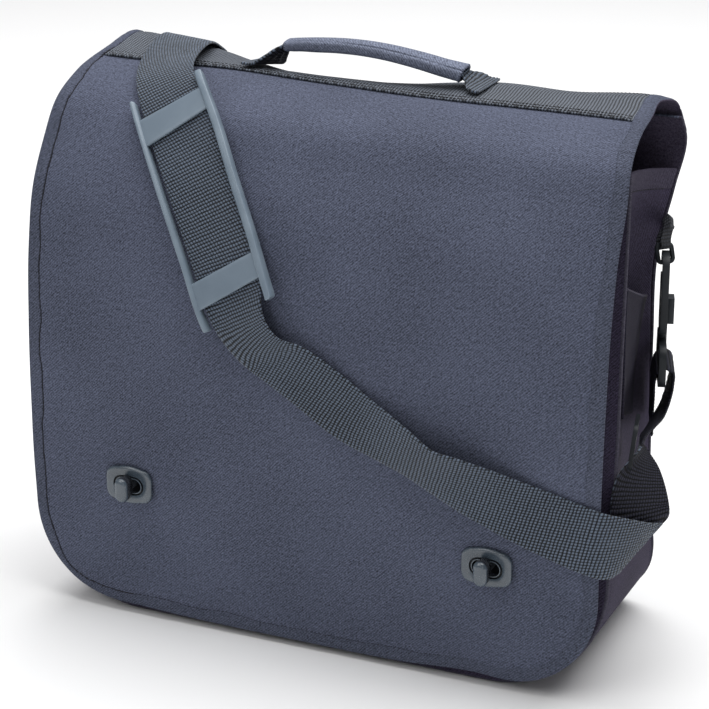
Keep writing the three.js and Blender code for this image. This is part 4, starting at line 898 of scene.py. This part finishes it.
# the strap's inner face gets the darker webbing: painted shade
shaded_faces = np.zeros(len(parts[1]), int)
half_count = (len(strap_t) - 1) * (len(strap_a) - 1)
strap_out = n[len(n) // 2, 1] < 0
shaded_faces[half_count:2 * half_count] = 1 if strap_out else 0
shaded_faces[:half_count] = 0 if strap_out else 1
face_t = strap_t[np.clip(parts[3] // (len(strap_a) - 1), 0, len(strap_t) - 1)]
shaded_faces[face_t < 130] = 1  # doubled back round the hook: both faces get the painted-shade webbing, as this run lies in shade
strap = mesh_piece("shoulder_strap_web", parts[0], turned_out(parts[0], parts[1]), parts[2], [WEB, WEB_SHADE], face_material=shaded_faces)
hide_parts("shoulder_strap")

# shoulder frame: rails and cross bars along the strap
def round_box(a0, a1, b0, b1, r, k=5):
    """Points round a rounded rectangle."""
    a0, a1 = min(a0, a1), max(a0, a1)
    r = min(r, (a1 - a0) / 2 * 0.98, (b1 - b0) / 2 * 0.98)
    pts = []
    for cx_, cy_, start in ((a1 - r, b1 - r, 0), (a0 + r, b1 - r, 90), (a0 + r, b0 + r, 180), (a1 - r, b0 + r, 270)):
        for i in range(k + 1):
            ang = math.radians(start + 90 * i / k)
            pts.append((cx_ + r * math.cos(ang), cy_ + r * math.sin(ang)))
    return np.array(pts)




def along_strap(t0, t1, section, r, steps=60, bow=0.0, stretch=None):
    """A moulded bar that follows the strap from t0 to t1 with the given section, its ends rounded too."""
    ts = np.concatenate([[t0, t0 + 0.25 * r, t0 + 0.7 * r], np.linspace(t0 + 1.3 * r, t1 - 1.3 * r, steps), [t1 - 0.7 * r, t1 - 0.25 * r, t1]])
    inset = np.concatenate([[0.9 * r, 0.42 * r, 0.12 * r], np.zeros(steps), [0.12 * r, 0.42 * r, 0.9 * r]])
    c, half, _, n = strap_frame(ts)
    w = unit(half)
    out = np.where(n[:, 1:2] < 0, n, -n)
    shift = pad_bow(ts - pad_low)[:, 0]
    rings = []
    for i in range(len(ts)):
        sec = section.copy()
        if stretch is not None:  # reaches the bowed rail
            sec[:, 0] += shift[i] * smooth((sec[:, 0] - stretch[0]) / (stretch[1] - stretch[0]))
        mid = sec.mean(0)
        size = np.abs(sec - mid).max(0)
        sec = mid + (sec - mid) * np.maximum(0.05, (size - inset[i]) / size)
        rings.append(c[i] + w[i] * (sec[:, :1] + bow * shift[i]) + out[i] * sec[:, 1:])
    rings = np.array(rings)
    faces = turned_out(rings.reshape(-1, 3), loft(rings))
    uv = np.stack(np.broadcast_arrays(np.arange(rings.shape[1])[None] * 0.001, ts[:, None] * 0.001), -1).reshape(-1, 2)
    return rings.reshape(-1, 3), faces, uv


def rail_section(a_in, a_out, low, high):
    """A rail's section: a wide slope on its inner side, small rounds elsewhere."""
    side = 1 if a_out > a_in else -1
    pts = [(a_in, low + 0.5), (a_in + side * 0.5, low), (a_out - side * 0.5, low), (a_out, low + 0.5), (a_out, high - 0.75), (a_out - side * 0.22, high - 0.22), (a_out - side * 0.75, high), (a_in + side * 1.75, high), (a_in + side * 1.35, high - 0.14), (a_in + side * 0.12, high - 1.5), (a_in, high - 1.9)]
    return np.array(pts, float)


bar_section = round_box(PAD["left"][0] - 1.5, PAD["right"][0] + 1.5, 1.7, 3.9, 0.7)
pad_parts = [
    along_strap(pad_low - 12, pad_high + 15, rail_section(*PAD["right"], -1.4, PAD["height"]), 1.0, bow=1.0),
    along_strap(pad_low - 11, pad_high + 10, rail_section(*PAD["left"], -1.4, PAD["height"]), 1.0),
    along_strap(pad_low + 3, pad_low + 20, bar_section, 0.7, steps=14, stretch=(0, 20)),
    along_strap(pad_high - 20, pad_high - 2, bar_section, 0.7, steps=14, stretch=(0, 20)),
]
v, f, t = joined(pad_parts)
pad = mesh_piece("shoulder_frame", v, f, t, [GREY], sharp=50)
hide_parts("shoulder_pad")

# ------------------------------------------------------------------ carry handle
handle_pts = np.array(HANDLE, float)


def handle_point(t):
    """Centripetal curve through the handle's rows, t from 0 to 1 over the rows."""
    p = handle_pts[:, :3]
    last = len(p) - 1
    t = np.atleast_1d(np.asarray(t, float))
    i = np.clip(np.floor(t * last).astype(int), 0, last - 1)
    w = (t * last - i)[:, None]
    ext = np.concatenate([2 * p[:1] - p[1:2], p, 2 * p[-1:] - p[-2:-1]])
    x0, x1, x2, x3 = ext[i], ext[i + 1], ext[i + 2], ext[i + 3]
    d0, d1, d2 = ((np.square(b - a).sum(1) ** 0.25)[:, None] for a, b in ((x0, x1), (x1, x2), (x2, x3)))
    t1 = ((x1 - x0) / d0 - (x2 - x0) / (d0 + d1) + (x2 - x1) / d1) * d1
    t2 = ((x2 - x1) / d1 - (x3 - x1) / (d1 + d2) + (x3 - x2) / d2) * d1
    return x1 + w * t1 + w**2 * (-3 * x1 + 3 * x2 - 2 * t1 - t2) + w**3 * (2 * x1 - 2 * x2 + t1 + t2)


handle_side = Through(handle_pts[:, 3:], np.arange(len(HANDLE)) / (len(HANDLE) - 1))


def handle_frame(t):
    c = handle_point(t)
    d = unit(handle_point(np.clip(t + 0.002, 0, 1)) - handle_point(np.clip(t - 0.002, 0, 1)))
    lean = handle_side(t)
    w = np.stack([lean[:, 1], np.ones(len(lean)), lean[:, 2]], 1)
    w = unit(w - d * (w * d).sum(1, keepdims=True))
    return c, d, w, unit(np.cross(d, w))


ht = np.linspace(0, 1, 420)
ha = np.concatenate([[-1, -0.97, -0.9], np.linspace(-0.8, 0.8, 25), [0.9, 0.97, 1]])
c, d, w, n = handle_frame(ht)
wide = handle_side(ht)[:, 0]
gather = clamp((32 - wide) / 18)
pleat = gather[:, None] * 0.85 * np.sin(ha[None] * math.pi * 3.5 + 0.6)
handle_p = c[:, None] + w[:, None] * (wide[:, None] / 2 * ha[None])[..., None]
handle_len = np.concatenate([[0], np.cumsum(np.linalg.norm(np.diff(c, axis=0), axis=1))])
hn = np.broadcast_to(n[:, None], handle_p.shape)
deep = 0.16 + 0.3 * (ht > 0.8)  # the right foot's ribs stand out where it is gathered
face_h = (1 - deep * (1 - np.abs(np.sin(np.pi * handle_len / RIB))))[:, None] * 0.98
handle_uv = np.stack(np.broadcast_arrays(ha[None] * 19, handle_len[:, None]), -1) * 0.001
parts = shell(handle_p + hn * pleat[..., None], face_h, face_h, handle_uv, n=hn)
# the handle's under face gets the darker webbing: painted shade
shaded_faces = np.zeros(len(parts[1]), int)
half_count = (len(ht) - 1) * (len(ha) - 1)
under = n[len(ht) // 2, 2] > 0
shaded_faces[half_count:2 * half_count] = 1 if under else 0
shaded_faces[:half_count] = 0 if under else 1
handle = mesh_piece("handle_web", parts[0], turned_out(parts[0], parts[1]), parts[2], [WEB, WEB_SHADE], face_material=shaded_faces)
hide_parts("handle_strap")

# sleeve round the handle: padded cloth with one long sewn edge
gr_t = np.linspace(GRIP["start"], GRIP["end"], 90)
c, d, w, n = handle_frame(gr_t)
n = np.where(n[:, 2:3] < 0, -n, n)
k = np.linspace(0, 1, len(gr_t))
M = 56
ang = np.arange(M) / M * 2 * math.pi
cosa, sina = np.cos(ang), np.sin(ang)
sup = np.stack([np.sign(cosa) * np.abs(cosa) ** 0.75, np.sign(sina) * np.abs(sina) ** 0.75], 1)
size_w = GRIP["width"] / 2 * (1 + GRIP["grow"] * k)
size_h = GRIP["height"] / 2 * (1 + GRIP["grow"] * k)
soft = 1 + 0.035 * noise(k[:, None] * 9, ang[None] * 1.6, 81)
fold_at = math.radians(128) + 0.25 * k  # the overlapping edge faces the front and up
step = (np.mod(ang[None] - fold_at[:, None] + math.pi, 2 * math.pi) - math.pi)
groove = 1 - 0.16 * smooth(k / 0.25)[:, None] * hump(step / 0.07) + 0.07 * smooth(k / 0.25)[:, None] * smooth(step / 0.12) * smooth((1.0 - step) / 0.7)
pinch = 1 - 0.05 * hump((k - 0.02) / 0.03)[:, None] + 0.05 * hump((k - 1.0) / 0.03)[:, None]
outer = c[:, None] + (w[:, None] * (size_w[:, None] * sup[None, :, 0] * soft * groove * pinch)[..., None]) + n[:, None] * (size_h[:, None] * sup[None, :, 1] * soft * groove * pinch)[..., None]
inner = c[:, None] + w[:, None] * (np.full_like(size_w, 13.2 * 1.12 / 2)[:, None] * sup[None, :, 0])[..., None] + n[:, None] * (np.full_like(size_h, 3.6 * 1.15 / 2 + 0.6)[:, None] * sup[None, :, 1])[..., None]
end0 = (outer[:1] * 0.62 + inner[:1] * 0.38) - d[:1, None] * 0.9
end1 = (outer[-1:] * 0.62 + inner[-1:] * 0.38) + d[-1:, None] * 0.9
rings = np.concatenate([inner[:1], end0, outer, end1, inner[::-1]])
ring_faces = loft(rings, closed_ends=False)
verts = rings[:-1].reshape(-1, 3)
first = np.arange(M)
last_ring = (len(rings) - 2) * M
faces = [q for q in ring_faces if max(q) < (len(rings) - 1) * M]
faces += [[last_ring + i, last_ring + (i + 1) % M, (i + 1) % M, i] for i in range(M)]
grip_len = np.concatenate([[0], np.cumsum(np.linalg.norm(np.diff(c, axis=0), axis=1))])
vv = np.concatenate([[0, 0], grip_len, [grip_len[-1], grip_len[-1]], grip_len[::-1][1:]])[: len(rings) - 1]
uv = np.stack(np.broadcast_arrays(np.arange(M)[None] * 0.75, vv[:, None]), -1).reshape(-1, 2) * 0.001
grip = mesh_piece("handle_sleeve", verts, turned_out(verts, faces), uv, [GRIP_SLATE])
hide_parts("handle_grip")

# ------------------------------------------------------------------ turn-locks
def stadium(w, h, m=128):
    """Radius of an oblong with round ends, at m even angles."""
    ang = np.arange(m) / m * 2 * math.pi
    r, a = min(w, h) / 2, abs(w - h) / 2
    c, s = (np.abs(np.cos(ang)), np.abs(np.sin(ang))) if w >= h else (np.abs(np.sin(ang)), np.abs(np.cos(ang)))
    flat = np.where(s > 1e-9, r / np.maximum(s, 1e-9), 1e9)
    disc = np.maximum(0, r * r - (a * s) ** 2)
    round_end = a * c + np.sqrt(disc)
    return ang, np.where(flat * c <= a, flat, round_end)


def plate_radius(w, h, r, bow, m=128):
    """Radius of the rounded plate with bowed upper and lower edges, at m even angles."""
    def quad(p0, p1, p2):
        t = np.linspace(0, 1, 24)[:, None]
        return (1 - t) ** 2 * np.array(p0) + 2 * t * (1 - t) * np.array(p1) + t * t * np.array(p2)

    x, y = w / 2, h / 2
    quarter = np.concatenate([
        quad((x, -(y - r - bow)), (x, 0), (x, y - r - bow)), quad((x, y - r - bow), (x, y - bow), (x - r, y - bow * 0.8)),
        quad((x - r, y - bow * 0.8), (0, y + bow * 0.6), (-x + r, y - bow * 0.8)), quad((-x + r, y - bow * 0.8), (-x, y - bow), (-x, y - r - bow)),
    ])
    both = np.concatenate([quarter, -quarter])
    a = np.mod(np.arctan2(both[:, 1], both[:, 0]), 2 * math.pi)
    order = np.argsort(a)
    a, rad = a[order], np.hypot(both[:, 0], both[:, 1])[order]
    ang = np.arange(m) / m * 2 * math.pi
    return ang, np.interp(ang, a, rad, period=2 * math.pi)


def turned(ang, radii, depths, x, z, cap_first=False, cap_last=False):
    """Rings round (x, z) with a radius for each angle and a depth y each, as points, faces and uv."""
    rings = np.stack([np.stack([x + r * np.cos(ang), np.broadcast_to(y, ang.shape), z + r * np.sin(ang)], -1) for r, y in zip(radii, depths)])
    faces = loft(rings, closed_ends=False)
    m = len(ang)
    if cap_first:
        faces.append(list(range(m))[::-1])
    if cap_last:
        faces.append(list(range((len(radii) - 1) * m, len(radii) * m)))
    if not cap_first and not cap_last:
        e = (len(radii) - 1) * m
        faces += [[e + i, e + (i + 1) % m, (i + 1) % m, i] for i in range(m)]
    v = rings.reshape(-1, 3)
    return v, turned_out(v, faces), v[:, [0, 2]] * 0.001


for side, (lx, lz) in LOCKS.items():
    grid = np.array([[flap_point((lx + i * LOCK["plate_w"] / 2) / FLAP_HALF, lz - 5 + j * LOCK["plate_h"] / 2)[1] for i in (-1, 0, 1)] for j in (-1, 0, 1)])
    skin = float(grid.min()) - CLOTH / 2
    back_level = skin - GAP
    face = back_level - LOCK["plate_t"]
    ang, ro = plate_radius(LOCK["plate_w"], LOCK["plate_h"], 8, 1.8)
    _, rs = stadium(LOCK["slot_w"], LOCK["slot_h"])
    # from the slot outwards: a raised rim, a sunk line round it, the face and a round edge
    radii = [rs, rs, rs + 0.2, rs + 0.7, rs + 0.85, rs + 0.95, rs + 1.95, rs + 2.05, rs + 2.3, ro - 2.6, ro - 1.7, ro - 1.15, ro - 0.65, ro - 0.28, ro - 0.07, ro, ro, ro - 0.3]
    depth = [back_level, face + 0.45, face, face, face + 0.3, face + 1.5, face + 1.5, face + 0.3, face + 0.1, face + 0.1, face + 0.02, face + 0.12, face + 0.38, face + 0.76, face + 1.2, face + 1.6, back_level - 0.25, back_level]
    v, f, t = turned(ang, radii, depth, lx, lz)
    # the slot's wall and the sunk line round it are coloured black: painted shade in these recesses
    recess_shade = np.zeros(len(f), int)
    recess_shade[4 * len(ang):7 * len(ang)] = 1
    recess_shade[:len(ang)] = 1
    plate = mesh_piece("lock_plate_" + side + "_moulded", v, f, t, [LOCK_GREY, BLACK], face_material=recess_shade, sharp=60)
    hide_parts("lock_plate_" + side)
    # knob: an oblong thumb turn with a domed face, narrower behind
    start = face - 0.4 - GAP
    front_level = start - LOCK["knob_t"]
    _, rk = stadium(LOCK["knob_w"], LOCK["knob_h"])
    radii = [rk - 1.3, rk - 0.9, rk - 0.75, rk - 0.2, rk, rk, rk - 0.1, rk - 0.45, rk - 1.1, rk - 2.0, rk - 3.0, rk - 4.0]
    depth = [start, start - 0.25, start - 3.2, start - 4.0, start - 4.8, start - 7.6, start - 8.5, start - 9.4, start - 10.15, start - 10.65, start - 10.92, front_level]
    v, f, t = turned(ang, radii, depth, lx, lz, cap_first=True, cap_last=True)
    # the knob's sides and back take the darker copy: painted shade and dark reflection
    shaded_flank = np.zeros(len(f), int)
    shaded_flank[:6 * len(ang)] = 1
    shaded_flank[-2] = 1
    knob = mesh_piece("lock_knob_" + side + "_moulded", v, f, t, [LOCK_GREY, LOCK_SHADE], body="knob_" + side, face_material=shaded_flank, sharp=60)
    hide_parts("lock_knob_" + side)

# ------------------------------------------------------------------ fittings kept from the part, with soft edges
for name in ("hook_right", "hook_left", "latch_right", "ring_right", "ring_left", "strap_slide", "lock_base_left", "lock_base_right"):
    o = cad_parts[name]
    o.data.materials.clear()
    o.data.materials.append(LOCK_DARK if name.startswith("lock") else BLACK)
    o.data.polygons.foreach_set("use_smooth", np.ones(len(o.data.polygons), bool))
    weld = o.modifiers.new("weld", "WELD")
    weld.merge_threshold = 0.00001
    bevel = o.modifiers.new("bevel", "BEVEL")
    bevel.width, bevel.segments, bevel.limit_method, bevel.angle_limit = (0.0011 if name == "latch_right" else 0.0005), 3, "ANGLE", math.radians(40)
    bevel.harden_normals = True


# ------------------------------------------------------------------ webbing tabs at the sides
def frame_of(origin, across, up):
    a = unit(np.asarray(across, float))
    b = unit(np.asarray(up, float) - a * np.dot(up, a))
    return np.asarray(origin, float), a, b, np.cross(a, b)


RING = dict(half=4.2, height=9.5, wire=2.2)
EYE_HIGH = 79.2
turn = math.radians(19.3)
right_hook = frame_of((200, 33, 182.7), (-math.sin(turn), math.cos(turn), 0), (0, 0, 1))
left_axis = np.array([0.3, 0, 0.954])
left_hook = frame_of(np.array([-161.3, 92.5, 337.4]) + left_axis * 2.3, (-0.954, 0, 0.3), -left_axis)


def ring_frame(hook, lean, back):
    o, a, b, c = hook
    place = o + b * (EYE_HIGH - RING["wire"] - 0.8)
    width = c * math.cos(lean) + a * math.sin(lean)
    return frame_of(place + b * RING["wire"], width, b + a * back)


def tab(name, ring, stops, width, node):
    """A strip 10 mm wide, creased along its middle, folded round the ring's far bar; both ends pass the stops to the seam."""
    o, w, b, _ = ring
    bar = o + b * (RING["height"] + RING["wire"] / 2)
    stops = [np.array(p, float) for p in stops]
    pull = stops[-1] - bar
    pull = unit(pull - w * np.dot(pull, w))
    side = unit(np.cross(w, pull))
    r = RING["wire"] * 0.72 + 1.2
    outer, inner = [], []
    for i, stop in enumerate(stops):
        to_seam = (stops[i - 1] if i else stop) - (stops[i + 1] if i + 1 < len(stops) else bar)
        nn = unit(np.cross(w, unit(to_seam - w * np.dot(to_seam, w))))
        apart = r * 0.8 if i else 1.2
        outer.append(stop + nn * apart)
        inner.insert(0, stop - nn * apart)
    path = np.array(outer + [bar + side * r * math.cos(a) - pull * r * math.sin(a) for a in np.linspace(0, math.pi, 9)] + inner)
    knots = np.concatenate([[0], np.cumsum(np.linalg.norm(np.diff(path, axis=0), axis=1))])
    line = Through(path, knots)
    ts = np.linspace(0, knots[-1], 110)
    p = line(ts)
    d = unit(np.gradient(p, axis=0))
    n = unit(np.cross(w, d))
    aa = np.concatenate([[-1, -0.95, -0.85], np.linspace(-0.7, 0.7, 15), [0.85, 0.95, 1]])
    # crest of the crease: away from the strip's other layer on the outer one, towards it on the inner one
    layer = np.where(ts < knots[-1] / 2, -1.0, 1.0)
    rise = smooth((np.abs(ts - knots[-1] / 2) - 7) / 6)
    slope = math.sqrt(5.0**2 - (width / 2) ** 2)
    crest = slope * (1 - np.sqrt(aa**2 + 0.02))[None] * (rise * layer)[:, None]
    grid = p[:, None] + w * (aa * width / 2)[None, :, None] + n[:, None] * crest[..., None]
    nn = np.broadcast_to(n[:, None], grid.shape)
    thick = 0.6 + 0.1 * np.abs(np.sin(np.pi * ts / 2.2))[:, None] + 0 * aa[None]
    parts = shell(grid, thick, thick, np.stack(np.broadcast_arrays(aa[None] * 5, ts[:, None]), -1) * 0.001, n=nn)
    piece = mesh_piece(name, parts[0], turned_out(parts[0], parts[1]), parts[2], [TAB])
    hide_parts(node)


tab("tab_right_web", ring_frame(right_hook, 0.5, 0.4), [(192.7, 60.5, 274.3), (195.0, 51.9, 279.6), (196.6, 45.8, 281.4), (197.2, 41.6, 279.6)], 7.0, "tab_right")
tab("tab_left_web", ring_frame(left_hook, 0.5, 0.0), [(-193.5, 80, 238), (-187.8, 91.2, 245)], 7.0, "tab_left")

# ------------------------------------------------------------------ the end
bpy.context.view_layer.update()
